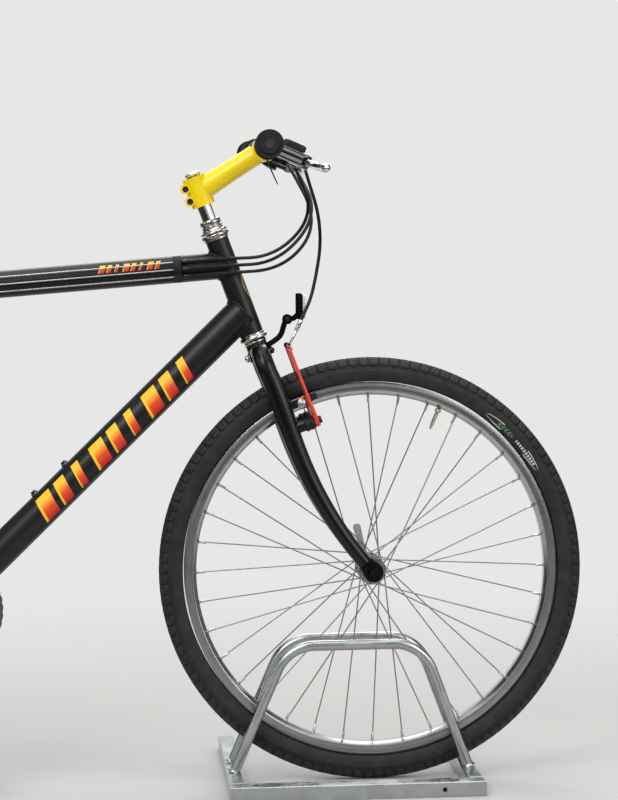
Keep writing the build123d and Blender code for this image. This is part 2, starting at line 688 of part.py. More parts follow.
# Reflector
REFLECTOR_W = 56.0
REFLECTOR_H = 39.0
knuckle = steer(CROWN_S + 16.5, 57.7)
housing_at = steer(CROWN_S + 22, 76) + Vector(3, 0, 8)
strap = bent_rod(
    [
        steer(CROWN_S - 14, CROWN_R + SEAT),
        steer(CROWN_S - 14, 38),
        knuckle,
        housing_at - Vector(3, 0, 12),
    ],
    3.8,
    14.0,
)
housing_plane = Plane(origin=housing_at, x_dir=(0, 1, 0), z_dir=(1, 0, 0))
housing = extrude(housing_plane * RectangleRounded(REFLECTOR_W, REFLECTOR_H, 5), amount=4, both=True)
node("reflector_bracket", strap + housing + rod(knuckle - SIDE * 6, knuckle + SIDE * 6, 6.5))
lens_plane = Plane(origin=housing_at + Vector(4, 0, 0), x_dir=(0, 1, 0), z_dir=(1, 0, 0))
node("front_reflector", extrude(lens_plane * RectangleRounded(REFLECTOR_W - 3, REFLECTOR_H - 3, 4), amount=4))

# Frame tubes
node("head_tube", sleeve(steer(HEAD_LOW_S), steer(HEAD_TOP_S), HEAD_TUBE_R, HEAD_BORE_R))
head_seat = rod(steer(HEAD_LOW_S - HEAD_TUBE_L), steer(HEAD_TOP_S + HEAD_TUBE_L), HEAD_TUBE_R + SEAT)
low_cup_seat = rod(steer(CROWN_S - CUP_H), steer(HEAD_LOW_S + SEAT), CUP_R + SEAT)
bb_seat = rod(BB - SIDE * BB_SHELL_W, BB + SIDE * BB_SHELL_W, BB_SHELL_R + SEAT)
node("bottom_bracket_shell", sleeve(
    BB - SIDE * BB_SHELL_W / 2, BB + SIDE * BB_SHELL_W / 2, BB_SHELL_R, SPINDLE_R + RUN + 1))

top_head = steer(HEAD_TOP_S - TOP_TUBE_BELOW)
down_head = steer(HEAD_LOW_S + DOWN_TUBE_ABOVE)
span = top_head - BB
run_len = (span.X * SEAT_UP.Z - span.Z * SEAT_UP.X) / (TOP_DIR.X * SEAT_UP.Z - TOP_DIR.Z * SEAT_UP.X)
top_seat = top_head - TOP_DIR * run_len
seat_len = (top_seat - BB).length
seat_top = BB + SEAT_UP * (seat_len + SEAT_TUBE_TOP)
seat_seat = rod(BB, seat_top + SEAT_UP * SEAT_TUBE_TOP, SEAT_TUBE_R + SEAT)
top_tube_seat = rod(top_seat, top_head, TOP_TUBE_R + SEAT)

seat_tube = rod(BB, seat_top, SEAT_TUBE_R) - bb_seat
post_bore = rod(seat_top - SEAT_UP * 2 * SEATPOST_DEPTH, seat_top + SEAT_UP, SEATPOST_R + SEAT)
node("seat_tube", main_solid(seat_tube - post_bore))
node("top_tube", main_solid(rod(top_seat, top_head, TOP_TUBE_R) - head_seat - seat_seat))

down_tube = rod(BB, down_head, DOWN_TUBE_R) - head_seat - bb_seat - seat_seat - low_cup_seat - top_tube_seat
down_dir = (down_head - BB).normalized()
down_up = Vector(-down_dir.Z, 0, down_dir.X)
inserts = []
for along in BOTTLE_BOSS_AT:
    mouth = BB + down_dir * along + down_up * DOWN_TUBE_R
    insert = rod(mouth - down_up * 10, mouth + down_up * 3, BOTTLE_INSERT_R)
    collar = rod(mouth - down_up * 3, mouth + down_up * 3, BOTTLE_INSERT_R + 2.4)
    insert = insert + (collar - rod(BB, down_head, DOWN_TUBE_R + SEAT))
    inserts.append(main_solid(insert - rod(mouth - down_up * 11, mouth + down_up * 4, BOTTLE_BOSS_R)))
    down_tube = down_tube - rod(mouth - down_up * 10.5, mouth + down_up * 4, BOTTLE_INSERT_R + SEAT)
node("down_tube", main_solid(down_tube))
node("bottle_bosses", *inserts)

rear_drop_y = REAR_OLD / 2 + DROPOUT_T / 2
stay_in_y = TYRE_W / 2 + STAY_ROOM + SEATSTAY_R
stay_top = BB + SEAT_UP * (seat_len - 6)
stay_foot = Vector(4, 0, 40)
stay_knee = stay_top + Vector(-70, 0, -50)
stay_run = stay_knee - REAR - stay_foot
STAY_UP = stay_run.normalized()
STAY_BACK = Vector(-STAY_UP.Z, 0, STAY_UP.X)
stay_q = stay_foot.dot(STAY_BACK)
stay_s = stay_foot.dot(STAY_UP)
chain_foot = Vector(34, 0, -6)


def rear_at(s, q, y):
    """Point beside the rear wheel, for the brake: s along the seatstays and q behind them."""
    return REAR + STAY_UP * s + STAY_BACK * q + SIDE * y


def stay_y(s):
    """Distance of a seatstay from the wheel's plane at height s."""
    return rear_drop_y + (stay_in_y - rear_drop_y) * (s - stay_s) / stay_run.length


chainstays = None
seatstays = None
dropouts = []
for side in (-1, 1):
    plane = Plane(origin=REAR + SIDE * side * rear_drop_y, x_dir=(1, 0, 0), z_dir=(0, -1, 0))
    chain_bend = BB + Vector(-0.35 * CHAINSTAY, side * (TYRE_W / 2 + STAY_ROOM + CHAINSTAY_R), 6)
    chainstay = bent_rod(
        [BB + Vector(-14, side * 24, 0), chain_bend, REAR + chain_foot + SIDE * side * rear_drop_y],
        CHAINSTAY_R, 120.0)
    seatstay = bent_rod(
        [
            stay_top + SIDE * side * 8,
            stay_knee + SIDE * side * stay_in_y,
            REAR + stay_foot + SIDE * side * rear_drop_y,
        ],
        SEATSTAY_R, 60.0)
    seatstay = seatstay + bosses(rear_at, stay_q, SEATSTAY_R, side * stay_y(BOSS_S))
    outline = make_hull((
        Circle(15) + Pos(chain_foot.X, chain_foot.Z) * Circle(CHAINSTAY_R + 1)
        + Pos(stay_foot.X, stay_foot.Z) * Circle(SEATSTAY_R + 1)
    ).edges())
    plate = extrude(plane * outline, amount=DROPOUT_T / 2, both=True)
    plate_seat = extrude(plane * outline, amount=DROPOUT_T / 2 + SEAT, both=True)
    if side < 0:
        plate = plate + link(plane, [(0, -8, 8.0), (6, -27, 9.0)], DROPOUT_T)
    eyelet = REAR + Vector(-2, side * rear_drop_y, 24)
    plate = plate - rod(REAR - SIDE * REAR_OLD, REAR + SIDE * REAR_OLD, AXLE_R + SEAT)
    dropouts.append(plate - rod(eyelet - SIDE * DROPOUT_T, eyelet + SIDE * DROPOUT_T, EYELET_R))
    chainstay = main_solid(chainstay - bb_seat - seat_seat - plate_seat)
    seatstay = main_solid(seatstay - seat_seat - top_tube_seat - plate_seat)
    chainstays = chainstay if chainstays is None else chainstays + chainstay
    seatstays = seatstay if seatstays is None else seatstays + seatstay
bridge_s = TYRE_R + STAY_ROOM + BRIDGE_R
seatstays = seatstays + rod(
    rear_at(bridge_s, stay_q, -stay_y(bridge_s)), rear_at(bridge_s, stay_q, stay_y(bridge_s)), BRIDGE_R)
bridge = REAR + Vector(bridge_s, 0, 0) + Vector(0, 0, (BB - REAR).Z * bridge_s / CHAINSTAY + 2)
bridge_half = TYRE_W / 2 + STAY_ROOM
chainstays = chainstays + rod(bridge - SIDE * bridge_half, bridge + SIDE * bridge_half, BRIDGE_R)
node("chainstays", chainstays)
node("seatstays", seatstays)
node("rear_dropouts", *dropouts)

arms, pads, noodle, rear_noodle_path = rim_brake(
    rear_at, STAY_UP, STAY_BACK, 0.0, stay_q, SEATSTAY_R, stay_y(BOSS_S))
node("rear_brake_arms", *arms)
node("rear_brake_pads", *pads)
node("rear_brake_noodle", noodle)

# Rear wheel and sprockets
node("rear_hub", hub(REAR, REAR_FLANGE_Y, REAR_BARREL_R, REAR_OLD / 2 - RUN))
node("rear_spokes", *spokes(REAR, REAR_FLANGE_Y))
node("rear_rim", rim(REAR))
node("rear_tyre", tyre(REAR))
node("rear_axle", quick_release(REAR, REAR_OLD / 2 + DROPOUT_T, 48.0))


def cog(centre, teeth, y, bore_r, engaged, thick=COG_T):
    """Toothed disc, with its tips inside the chain's rollers where the chain lies."""
    tip_r = pitch_radius(teeth) + (-CHAIN_HALF_H - RUN if engaged else 2.0)
    root_r = tip_r - TOOTH_H
    step = 2 * pi / teeth
    points = []
    for i in range(teeth):
        for r, share in ((root_r, -0.36), (tip_r, -0.13), (tip_r, 0.13), (root_r, 0.36)):
            angle = (i + share) * step
            points.append((r * cos(angle), r * sin(angle)))
    plane = Plane(origin=centre + SIDE * y, x_dir=(1, 0, 0), z_dir=(0, -1, 0))
    outline = make_face(Polyline(*points, close=True)) - Circle(bore_r)
    return extrude(plane * outline, amount=thick / 2, both=True)


carrier_r = HUB_NECK_R + SEAT
cogs = sleeve(REAR + SIDE * COGS[0][1], REAR + SIDE * COGS[-1][1], HUB_NECK_R + 8, carrier_r)
for teeth, y in COGS:
    cogs = cogs + cog(REAR, teeth, y, carrier_r, teeth == DRIVE_COG)
node("sprockets", cogs)

# Crank and pedals
rings = [cog(BB, teeth, y, pitch_radius(teeth) - 17.0, teeth == DRIVE_RING) for teeth, y in RINGS]
node("chainrings", *rings)


def crank_arm(side, down):
    """Lofted crank arm with its hub and pedal pin; down is the way it points along Z."""
    root = BB + SIDE * side * CRANK_Y
    eye = BB + Vector(0, side * (CRANK_Y + CRANK_FLARE), down * CRANK)
    sections = []
    for share, thick, width in ((0.0, 15.0, 32.0), (0.5, 13.0, 24.0), (1.0, 12.0, 22.0)):  # along, sizes
        sections.append(
            Plane(origin=root + (eye - root) * share, z_dir=(0, 0, down), x_dir=SIDE)
            * RectangleRounded(thick, width, 4.0))
    arm = loft(sections)
    arm = arm + rod(BB + SIDE * side * (BB_SHELL_W / 2 + 3), root + SIDE * side * 8, CRANK_HUB_R)
    arm = arm + rod(eye - SIDE * 7, eye + SIDE * 7, CRANK_EYE_R)
    pin_end = PEDAL_GAP + PEDAL_LENGTH - 10.0
    return arm + rod(eye, eye + SIDE * side * pin_end, PEDAL_PIN_R), eye


right_arm, right_eye = crank_arm(-1, -1)
left_arm, left_eye = crank_arm(1, 1)
spider_y = (RINGS[0][1] + RINGS[1][1]) / 2
spider_t = RINGS[1][1] - RINGS[0][1] - COG_T
spider_r = pitch_radius(RINGS[0][0]) - 14.0
post_r = pitch_radius(RINGS[2][0]) - 12.0
spider_plane = Plane(origin=BB + SIDE * spider_y, x_dir=(1, 0, 0), z_dir=(0, -1, 0))
for i in range(5):
    turn = radians(90 + 72 * i)
    right_arm = right_arm + link(
        spider_plane, [(0, 0, 18.0), (spider_r * cos(turn), spider_r * sin(turn), 7.0)], spider_t)
    post = BB + Vector(post_r * cos(turn), 0, post_r * sin(turn))
    right_arm = right_arm + rod(post + SIDE * spider_y, post + SIDE * (RINGS[2][1] - COG_T / 2), 4.0)
right_arm = right_arm + rod(
    BB - SIDE * (BB_SHELL_W / 2 + 4), BB + SIDE * (BB_SHELL_W / 2 + 3), SPINDLE_R)
node("crank_arm_right", right_arm)
node("crank_arm_left", left_arm)
for name, eye, side in (("pedal_right", right_eye, -1), ("pedal_left", left_eye, 1)):
    middle = eye + SIDE * side * (PEDAL_GAP + PEDAL_LENGTH / 2)
    window_x = PEDAL_W / 2 - 22
    outline = RectangleRounded(PEDAL_W, PEDAL_LENGTH, 12)
    for x in (-1, 1):
        outline = outline - Pos(x * (PEDAL_W / 4 + 1), 0) * RectangleRounded(window_x, PEDAL_LENGTH - 28, 5)
    frame_plate = extrude(Plane(origin=middle) * outline, amount=PEDAL_H / 2 - 4, both=True)
    for x in (-1, 1):
        grip_rail = middle + Vector(x * (PEDAL_W / 2 - 4), 0, 0)
        frame_plate = frame_plate + Pos(grip_rail) * Box(5, PEDAL_LENGTH - 24, PEDAL_H)
    half = SIDE * (PEDAL_LENGTH / 2)
    body = frame_plate + rod(middle - half, middle + half, PEDAL_PIN_R + 5)
    bore_end = eye + SIDE * side * (PEDAL_GAP + PEDAL_LENGTH - 10.0 + RUN)
    node(name, main_solid(body - rod(eye, bore_end, PEDAL_PIN_R + RUN)))

# Chain, as one loop over ring, cog and the two pulleys
pulley_r = pitch_radius(PULLEY_TEETH)
guide = REAR + Vector(16, CHAIN_Y, -78)
tension = REAR + Vector(46, CHAIN_Y, -128)
ring_c, ring_r = BB + SIDE * CHAIN_Y, pitch_radius(DRIVE_RING)
cog_c, cog_r = REAR + SIDE * CHAIN_Y, pitch_radius(DRIVE_COG)
WRAPS = [  # centre, radius, way round
    (cog_c, cog_r, 1),
    (guide, pulley_r, -1),
    (tension, pulley_r, 1),
    (ring_c, ring_r, 1),
]


def tangent(c0, r0, turn0, c1, r1, turn1):
    """Ends of the straight run that leaves one circle and meets the next."""
    across = c1 - c0
    base = across.normalized()
    normal = Vector(-base.Z, 0, base.X)
    a, b = -r0 * turn0, -r1 * turn1
    sine = (a - b) / across.length
    out = base * sine + normal * sqrt(1 - sine**2)
    return c0 + out * a, c1 + out * b


runs = []
for first, second in zip(WRAPS, WRAPS[1:] + WRAPS[:1]):
    runs.append(tangent(*first, *second))
edges = []
for i, (centre, r, way) in enumerate(WRAPS):
    arrive, leave = runs[i - 1][1] - centre, runs[i][0] - centre
    start = atan2(arrive.Z, arrive.X)
    turn = (atan2(leave.Z, leave.X) - start) * way % (2 * pi) * way
    half = start + turn / 2
    edges.append(ThreePointArc(
        centre + arrive, centre + Vector(r * cos(half), 0, r * sin(half)), centre + leave))
    edges.append(Line(*runs[i]))
loop = Wire(edges)
links = 2 * round(loop.length / CHAIN_PITCH / 2)
chain_plane = Plane(origin=(0, CHAIN_Y, 0), x_dir=(1, 0, 0), z_dir=(0, -1, 0))


def chain_point(share, offset):
    """Point of the chain's outline, beside a place on the loop, as (x, z)."""
    share = share % 1.0
    spot, along = loop @ share, loop % share
    return spot.X - along.Z * offset, spot.Z + along.X * offset


def chain_side(sign):
    """Waisted outline of the links along one side of the loop."""
    points = []
    for i in range(links):
        for share, offset in ((-0.18, CHAIN_HALF_H), (0.18, CHAIN_HALF_H), (0.5, CHAIN_WAIST)):
            points.append(chain_point((i + share) / links, sign * offset))
    return Polyline(*points, close=True)


def plate(i):
    """Outer plate over one link."""
    points = []
    for share, offset in ((-0.18, 1), (0.18, 1), (0.5, 0.72), (0.82, 1), (1.18, 1)):
        points.append(chain_point((i + share) / links, offset * CHAIN_HALF_H))
    for share, offset in ((1.18, 1), (0.82, 1), (0.5, 0.72), (0.18, 1), (-0.18, 1)):
        points.append(chain_point((i + share) / links, -offset * CHAIN_HALF_H))
    return chain_plane * make_face(Polyline(*points, close=True))


faces = sorted([make_face(chain_side(1)), make_face(chain_side(-1))], key=lambda face: face.area)
strip = extrude(chain_plane * (faces[1] - faces[0]), amount=CHAIN_INNER_W / 2, both=True)
plates = [extrude(plate(i), amount=CHAIN_OUTER_W / 2, both=True).solid() for i in range(0, links, 2)]
node("chain", strip.solid().fuse(*plates))

# Derailleurs
CAGE_Y = 6.5
CAGE_T = 2.0
cage_pieces = []
for at in (guide, tension):
    wheel = cog(at, PULLEY_TEETH, 0.0, 4.0 + SEAT, True, thick=4.0)
    cage_pieces.append(wheel)
cage = None
along = tension - guide
for y in (-CAGE_Y, CAGE_Y):
    plane = Plane(origin=guide + SIDE * y, x_dir=(1, 0, 0), z_dir=(0, -1, 0))
    side_plate = link(plane, [(0, 0, 10.0), (along.X / 2, along.Z / 2, 6.0), (along.X, along.Z, 10.0)], CAGE_T)
    cage = side_plate if cage is None else cage + side_plate
for at in (guide, tension):
    cage = cage + rod(at - SIDE * (CAGE_Y + 1), at + SIDE * (CAGE_Y + 1), 4.0)
hang = REAR + Vector(6, -rear_drop_y, -27)
knuckle_y = -rear_drop_y - DROPOUT_T / 2
body_y = knuckle_y - 9.0
upper = Vector(hang.X, 0, hang.Z)
lower = Vector(guide.X, 0, guide.Z)
cage = cage + rod(upper + SIDE * (body_y - 9), upper + SIDE * knuckle_y, 10.0)
cage = cage + rod(lower + SIDE * (body_y - 9), lower + SIDE * (CHAIN_Y - CAGE_Y), 9.0)
arm_plane = Plane(origin=upper + SIDE * body_y, x_dir=(1, 0, 0), z_dir=(0, -1, 0))
drop = lower - upper
cage = cage + link(arm_plane, [(0, 0, 9.0), (drop.X + 22, drop.Z * 0.45, 9.0), (drop.X, drop.Z, 9.0)], 16.0)
node("rear_derailleur", cage, *cage_pieces)

FD_S = 112.0
fd_inner = ring_r + 7.0
fd_outer = ring_r + 30.0
fd = sleeve(BB + SEAT_UP * (FD_S - 7), BB + SEAT_UP * (FD_S + 7), SEAT_TUBE_R + 4, SEAT_TUBE_R + SEAT)
for y in (-7.5, 7.5):
    plane = Plane(origin=BB + SIDE * (CHAIN_Y + y), x_dir=(1, 0, 0), z_dir=(0, -1, 0))
    sector = Circle(fd_outer) - Circle(fd_inner)
    wedge = make_face(Polyline((0, 0), (60, 220), (-190, 220), (-160, 130), close=True))
    fd = fd + extrude(plane * (sector & wedge), amount=0.8, both=True)
post = BB + SEAT_UP * FD_S
fd = fd + rod(post - SIDE * (SEAT_TUBE_R + 2), post + SIDE * (CHAIN_Y - 8), 5.0)
node("front_derailleur", main_solid(fd))

# Saddle and seatpost
post_top = seat_top + SEAT_UP * SEATPOST_SHOW
saddle_z = post_top.Z + SADDLE_H
saddle_x = post_top.X
rail_drop = 46.0
head = rod(post_top - SIDE * 18, post_top + SIDE * 18, 12.0)
node("seatpost", rod(seat_top - SEAT_UP * SEATPOST_DEPTH, post_top, SEATPOST_R) + head)
clamp = sleeve(
    seat_top - SEAT_UP * (SEAT_CLAMP_H + 1), seat_top - SEAT_UP, SEAT_TUBE_R + SEAT_CLAMP_WALL, SEAT_TUBE_R + SEAT)
clamp_mid = seat_top - SEAT_UP * (SEAT_CLAMP_H / 2 + 1)
clamp_back = SIDE.cross(SEAT_UP) * -(SEAT_TUBE_R + SEAT_CLAMP_WALL + 3)
clamp = clamp + rod(clamp_mid + clamp_back - SIDE * 10, clamp_mid + clamp_back + SIDE * 10, 5.0)
clamp = clamp - rod(seat_top - SEAT_UP * 3 * SEAT_CLAMP_H, seat_top + SEAT_UP, SEAT_TUBE_R + SEAT)
node("seat_clamp", main_solid(clamp))
rails = []
for side in (-1, 1):
    rails.append(bent_rod(
        [
            (saddle_x - 0.3 * SADDLE_LENGTH, side * 34, saddle_z - 37.8),
            (saddle_x - 40, side * 22, saddle_z - rail_drop),
            (saddle_x + 40, side * 22, saddle_z - rail_drop),
            (saddle_x + 0.4 * SADDLE_LENGTH, side * 10, saddle_z - 38.4),
        ],
        RAIL_R,
        25.0,
    ))
node("saddle_rails", *rails)
sections = []
for along, width, drop, depth in (  # share of the length, share of the width, drop of the top, depth
    (-0.44, 0.90, 0.0, 30.0),
    (-0.25, 1.0, 2.0, 32.0),
    (0.0, 0.56, 6.0, 30.0),
    (0.29, 0.29, 5.0, 30.0),
    (0.56, 0.22, 10.0, 24.0),
):
    plane = Plane(
        origin=(saddle_x + along * SADDLE_LENGTH, 0, saddle_z - drop - depth / 2), z_dir=(1, 0, 0), x_dir=(0, 1, 0))
    sections.append(plane * RectangleRounded(width * SADDLE_W, depth, 11))
node("saddle", loft(sections))

# Cable stops and cables
STOP_AT = (STOP_FROM_HEAD, run_len - STOP_FROM_SEAT)


def beside(along, angle):
    """Point outside the top tube's right side, at an angle from its top."""
    turn = radians(angle)
    r = TOP_TUBE_R + CABLE_GAP
    return top_head - TOP_DIR * along + TOP_UP * (r * cos(turn)) - SIDE * (r * sin(turn))


stop_pieces = []
for at in STOP_AT:
    a, b = top_head - TOP_DIR * (at - STOP_HALF), top_head - TOP_DIR * (at + STOP_HALF)
    collar = sleeve(a, b, TOP_TUBE_R + CABLE_GAP + 4, TOP_TUBE_R + SEAT)
    window = block((a + b) * 0.5 - SIDE * (TOP_TUBE_R + 4), (40, 24, 40), z_dir=TOP_UP, x_dir=TOP_DIR)
    collar = collar & window
    for angle in CABLE_ANGLES:
        collar = collar - rod(beside(at - 20, angle), beside(at + 20, angle), CABLE_R + SEAT)
    stop_pieces.append(main_solid(collar))
node("cable_stops", *stop_pieces)
bare_from, bare_to = STOP_AT[0] - STOP_HALF, STOP_AT[1] + STOP_HALF
node("top_tube_cables", *[rod(beside(bare_from, a), beside(bare_to, a), CABLE_R) for a in CABLE_ANGLES])


def barrel_end(side, from_end, barrel):
    """Mouth of a control's barrel, where its housing begins."""
    return on_bar(side, from_end) + REACH * barrel.X - SIDE * side * (barrel.Y + SEAT)


CROSSINGS = [  # side, place on the bar, barrel, angle of its stop, (s, q, y) of the loop's front and low corners
    (-1, POD_AT, SHIFT_BARREL, CABLE_ANGLES[0], (HEAD_TOP_S - 14, 152.0, -42.0), (HEAD_TOP_S - 55, 73.0, -33.0)),
    (1, MOUNT_AT, BRAKE_BARREL, CABLE_ANGLES[1], (HEAD_TOP_S - 18, 160.0, 8.0), (HEAD_TOP_S - 65, 74.0, -34.0)),
    (1, POD_AT, SHIFT_BARREL, CABLE_ANGLES[2], (HEAD_TOP_S - 31, 155.0, -8.0), (HEAD_TOP_S - 77, 79.0, -33.0)),
]
housings = []
for side, from_end, barrel, angle, front_corner, low_corner in CROSSINGS:
    begin = barrel_end(side, from_end, barrel)
    stop = beside(bare_from - 0.8, angle)
    housings.append(bent_rod(
        [
            begin,
            begin - SIDE * side * 38,
            steer(*front_corner),
            steer(*low_corner),
            stop + TOP_DIR * 58,
            stop,
        ],
        HOUSING_R,
        [26.0, 60.0, 60.0, 60.0],
    ))
node("steering_cables", *housings)

begin = barrel_end(-1, MOUNT_AT, BRAKE_BARREL)
noodle_dir = (front_noodle_path[-1] - front_noodle_path[-2]).normalized()
end = front_noodle_path[-1] + noodle_dir * SEAT
node("front_brake_cable", bent_rod(
    [
        begin,
        begin + SIDE * 34,
        end + noodle_dir * 110 + Vector(-13, -2, 36),
        end + noodle_dir * 40,
        end,
    ],
    HOUSING_R,
    [26.0, 60.0, 60.0],
))

noodle_dir = (rear_noodle_path[-1] - rear_noodle_path[-2]).normalized()
end = rear_noodle_path[-1] + noodle_dir * SEAT
brake_line = bent_rod(
    [
        beside(bare_to + 0.8, CABLE_ANGLES[0]),
        beside(bare_to + 60, CABLE_ANGLES[0]) - SIDE * 8,
        end + noodle_dir * 84,
        end,
    ],
    HOUSING_R,
    [60.0, 50.0],
)
by_stay = SEATSTAY_R + HOUSING_R + 2 * SEAT
shift_line = bent_rod(
    [
        beside(bare_to + 0.8, CABLE_ANGLES[2]),
        beside(bare_to + 66, CABLE_ANGLES[2]) - SIDE * 16,
        rear_at(stay_s + 0.8 * stay_run.length, stay_q, -stay_y(stay_s + 0.8 * stay_run.length) - by_stay),
        rear_at(stay_s + 30, stay_q, -rear_drop_y - by_stay - 6),
        upper + Vector(-53, body_y - 8, 33),
        upper + Vector(-58, body_y - 6, -29),
        upper + Vector(-10 - SEAT, body_y - 4, -8),
    ],
    HOUSING_R,
    [60.0, 60.0, 40.0, 40.0, 25.0],
)
by_seat = SEAT_TUBE_R + HOUSING_R + 4
front_line = bent_rod(
    [
        beside(bare_to + 0.8, CABLE_ANGLES[1]),
        beside(bare_to + 42, CABLE_ANGLES[1]),
        BB + SEAT_UP * (seat_len - 90) - SIDE * by_seat,
        BB + SEAT_UP * (FD_S + 5 + SEAT) - SIDE * by_seat,
    ],
    HOUSING_R,
    [30.0, 60.0],
)
node("rear_cables", brake_line, shift_line, front_line)

os.makedirs("parts", exist_ok=True)
for name, solids in NODES.items():
    shape = solids[0] if len(solids) == 1 else Compound(children=solids)
    export_step(shape, f"parts/{name}.step")
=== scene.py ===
"""Looks of a mountain bicycle that a galvanised floor stand holds by its front wheel."""
import logging
import math
from dataclasses import dataclass, field
from enum import Enum
from typing import Any, Sequence

import bpy
import numpy as np
from mathutils import Matrix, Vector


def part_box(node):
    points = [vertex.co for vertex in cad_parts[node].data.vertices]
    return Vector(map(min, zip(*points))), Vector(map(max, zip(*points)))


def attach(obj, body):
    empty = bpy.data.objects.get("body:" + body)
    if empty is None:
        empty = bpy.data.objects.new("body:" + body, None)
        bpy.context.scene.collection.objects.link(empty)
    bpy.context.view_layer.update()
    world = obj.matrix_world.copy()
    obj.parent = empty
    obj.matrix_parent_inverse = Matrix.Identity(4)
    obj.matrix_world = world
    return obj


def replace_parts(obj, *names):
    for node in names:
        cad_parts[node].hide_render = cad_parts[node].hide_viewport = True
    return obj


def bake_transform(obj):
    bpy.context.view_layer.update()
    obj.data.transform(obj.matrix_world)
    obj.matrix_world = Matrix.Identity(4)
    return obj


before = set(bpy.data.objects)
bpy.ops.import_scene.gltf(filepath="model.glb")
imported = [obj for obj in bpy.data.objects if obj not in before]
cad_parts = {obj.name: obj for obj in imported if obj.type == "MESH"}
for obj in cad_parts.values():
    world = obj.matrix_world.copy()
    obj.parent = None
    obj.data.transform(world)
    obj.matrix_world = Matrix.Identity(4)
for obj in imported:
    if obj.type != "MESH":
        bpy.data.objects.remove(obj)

LOG = logging.getLogger("bicycle")
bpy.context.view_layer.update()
Array = np.ndarray
Colour = tuple[float, float, float]


def unit(v: Array) -> Array:
    """Vectors scaled to length 1 along the last axis."""
    return v / np.linalg.norm(v, axis=-1, keepdims=True)


@dataclass(frozen=True)
class Places:
    """Where the bicycle's main points lie, in metres.

    Heights s and reaches q of the front end run along and in front of the steering axis, from the foot of the
    front axle on it. Names that end in _r are radii, and the tubes' are those of their outer rounds.
    """

    tyre_r: float = 0.324
    tyre_w: float = 0.045
    head_angle: float = math.radians(70.25)
    rake: float = 0.043
    chainstay: float = 0.430
    bb_drop: float = 0.043
    front_centre: float = 0.648
    crown_s: float = 0.386
    head_low_s: float = 0.401
    head_top_s: float = 0.553
    stem_low_s: float = 0.608
    stem_high_s: float = 0.654
    bar_s: float = 0.656
    bar_q: float = 0.1166
    seat_angle: float = math.radians(72.5)
    top_slope: float = math.radians(4.0)
    top_below: float = 0.041
    down_above: float = 0.037
    top_r: float = 0.02065
    down_r: float = 0.025
    seat_r: float = 0.0159
    head_r: float = 0.0175
    shell_r: float = 0.021

    @property
    def stay_x(self) -> float:
        """Distance along X from the rear axle to the bottom bracket."""
        return math.sqrt(self.chainstay**2 - self.bb_drop**2)

    @property
    def half_base(self) -> float:
        """Half the wheelbase."""
        return (self.stay_x + self.front_centre) / 2

    @property
    def front(self) -> Array:
        """Centre of the front wheel."""
        return np.array([self.half_base, 0.0, self.tyre_r])

    @property
    def rear(self) -> Array:
        """Centre of the rear wheel."""
        return np.array([-self.half_base, 0.0, self.tyre_r])

    @property
    def bracket(self) -> Array:
        """Centre of the bottom bracket."""
        return self.rear + np.array([self.stay_x, 0.0, -self.bb_drop])

    @property
    def up(self) -> Array:
        """Direction of the steering axis."""
        return np.array([-math.cos(self.head_angle), 0.0, math.sin(self.head_angle)])

    @property
    def fwd(self) -> Array:
        """Direction in front of the steering axis and square to it."""
        return np.array([math.sin(self.head_angle), 0.0, math.cos(self.head_angle)])

    @property
    def seat_up(self) -> Array:
        """Direction of the seat tube."""
        return np.array([-math.cos(self.seat_angle), 0.0, math.sin(self.seat_angle)])

    @property
    def top_dir(self) -> Array:
        """Direction of the top tube, forwards."""
        return np.array([math.cos(self.top_slope), 0.0, math.sin(self.top_slope)])

    @property
    def top_head(self) -> Array:
        """Where the top tube's axis meets the steering axis."""
        return self.steer(self.head_top_s - self.top_below)

    @property
    def down_head(self) -> Array:
        """Where the down tube's axis meets the steering axis."""
        return self.steer(self.head_low_s + self.down_above)

    @property
    def top_seat(self) -> Array:
        """Where the top tube's axis meets the seat tube's: back from the head by their crossing's distance.

        Returns:
            The point.
        """
        span = self.top_head - self.bracket
        d, u = self.top_dir, self.seat_up
        return self.top_head - d * (span[0] * u[2] - span[2] * u[0]) / (d[0] * u[2] - d[2] * u[0])

    @property
    def stay_foot(self) -> Array:
        """Foot of the seatstays, over the rear axle and in the wheel's plane."""
        return self.rear + np.array([0.004, 0.0, 0.040])

    @property
    def stay_knee(self) -> Array:
        """Where the seatstays bend towards the seat tube, in the wheel's plane."""
        return self.top_seat - self.seat_up * 0.006 + np.array([-0.070, 0.0, -0.050])

    @property
    def stay_up(self) -> Array:
        """Direction of the seatstays from their feet to their knees."""
        return unit(self.stay_knee - self.stay_foot)

    def steer(self, s: float, q: float = 0.0, y: float = 0.0) -> Array:
        """Point of the front end at height s, reach q and side y."""
        return self.front - self.fwd * self.rake + self.up * s + self.fwd * q + np.array([0.0, y, 0.0])


AT = Places()
AHEAD = np.array([1.0, 0.0, 0.0])
SIDE = np.array([0.0, 1.0, 0.0])
UPRIGHT = np.array([0.0, 0.0, 1.0])
SIDES = (-1.0, 1.0)


def around(count: int) -> Array:
    """Angles of so many even steps round a circle, from 0."""
    return np.arange(count) * 2 * np.pi / count


